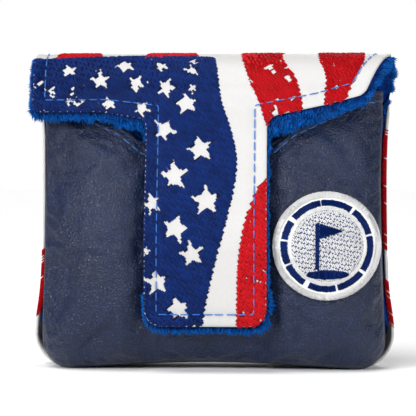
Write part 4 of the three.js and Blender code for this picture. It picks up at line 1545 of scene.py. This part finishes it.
def aim(name, light, place):
    """A light at a place, turned to the cover's middle."""
    fixture = bpy.data.objects.new(name, light)
    bpy.context.scene.collection.objects.link(fixture)
    fixture.location = place
    fixture.rotation_euler = (Vector(COVER_MIDDLE) - Vector(place)).to_track_quat("-Z", "Y").to_euler()


def lamp(name, size, place, power):
    light = bpy.data.lights.new(name, "AREA")
    light.shape = "RECTANGLE"
    light.size, light.size_y = size
    light.energy = power
    aim(name, light, place)


def make_floor():
    """A floor that glows a little far from the cover, so that it runs into the background."""
    bpy.ops.mesh.primitive_plane_add(size=5, location=(0, 0, 0))
    floor = bpy.context.object
    floor.name = "floor"
    uniform = {"Roughness": 0.85, "Base Color": (0.9, 0.9, 0.9, 1), "Emission Strength": 1}
    paper = Finish("floor_paper", uniform)
    at = paper.node("ShaderNodeTexCoord", output="Object")
    away = paper.node("ShaderNodeVectorMath", {"operation": "LENGTH"}, {0: at}, output="Value")
    paper.drive("Emission Color", paper.colour(away.ramp(0.3, 0.95), (0, 0, 0), (0.34, 0.34, 0.34)))
    floor.data.materials.append(paper.material)


def make_world():
    """A white background, which lights the cover much less than it shows."""
    world = bpy.data.worlds.new("studio")
    world.use_nodes = True
    nodes, links = world.node_tree.nodes, world.node_tree.links
    seen = nodes.new("ShaderNodeBackground")
    lighting = nodes["Background"]
    for background, strength in ((seen, 1), (lighting, 0.17)):
        background.inputs["Color"].default_value = (1, 1, 1, 1)
        background.inputs["Strength"].default_value = strength
    path, choice = nodes.new("ShaderNodeLightPath"), nodes.new("ShaderNodeMixShader")
    links.new(path.outputs["Is Camera Ray"], choice.inputs[0])
    links.new(lighting.outputs[0], choice.inputs[1])
    links.new(seen.outputs[0], choice.inputs[2])
    links.new(choice.outputs[0], nodes["World Output"].inputs["Surface"])
    bpy.context.scene.world = world
    bpy.context.scene.view_settings.view_transform = "Standard"


def make_lights():
    sky = bpy.data.lights.new("overhead", "SUN")
    sky.energy = 2.0
    sky.angle = math.radians(35)
    aim("overhead", sky, (-0.3, -0.35, 1.0))
    lamp("key", size=(0.26, 0.2), place=(-0.52, -0.62, 0.36), power=5.4)
    lamp("fill", size=(0.26, 0.26), place=(0.56, -0.58, 0.36), power=3.5)
    lamp("rear", size=(0.6, 0.4), place=(0.2, 0.7, 0.5), power=2.6)


def make_camera():
    azimuth, elevation, distance = math.radians(3), math.radians(2), 0.7
    target = Vector((-0.00195, 0, 0.0585))
    camera = bpy.data.objects.new("camera", bpy.data.cameras.new("camera"))
    camera.data.lens = 165
    camera.data.sensor_width = 36
    level = math.cos(elevation)
    away = Vector((math.sin(azimuth) * level, -math.cos(azimuth) * level, math.sin(elevation)))
    camera.location = target + away * distance
    camera.rotation_euler = (-away).to_track_quat("-Z", "Y").to_euler()
    bpy.context.scene.collection.objects.link(camera)
    bpy.context.scene.camera = camera


make_camera()
make_floor()
make_world()
make_lights()
make_front()
make_front_pile()
make_back()
make_back_pile()
make_flap()
make_flap_pile()
make_canton()
make_flap_stripes()
make_badge()
for magnet in ("front_magnet", "flap_magnet"):
    for material_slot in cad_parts[magnet].material_slots:
        material_slot.material = STEEL
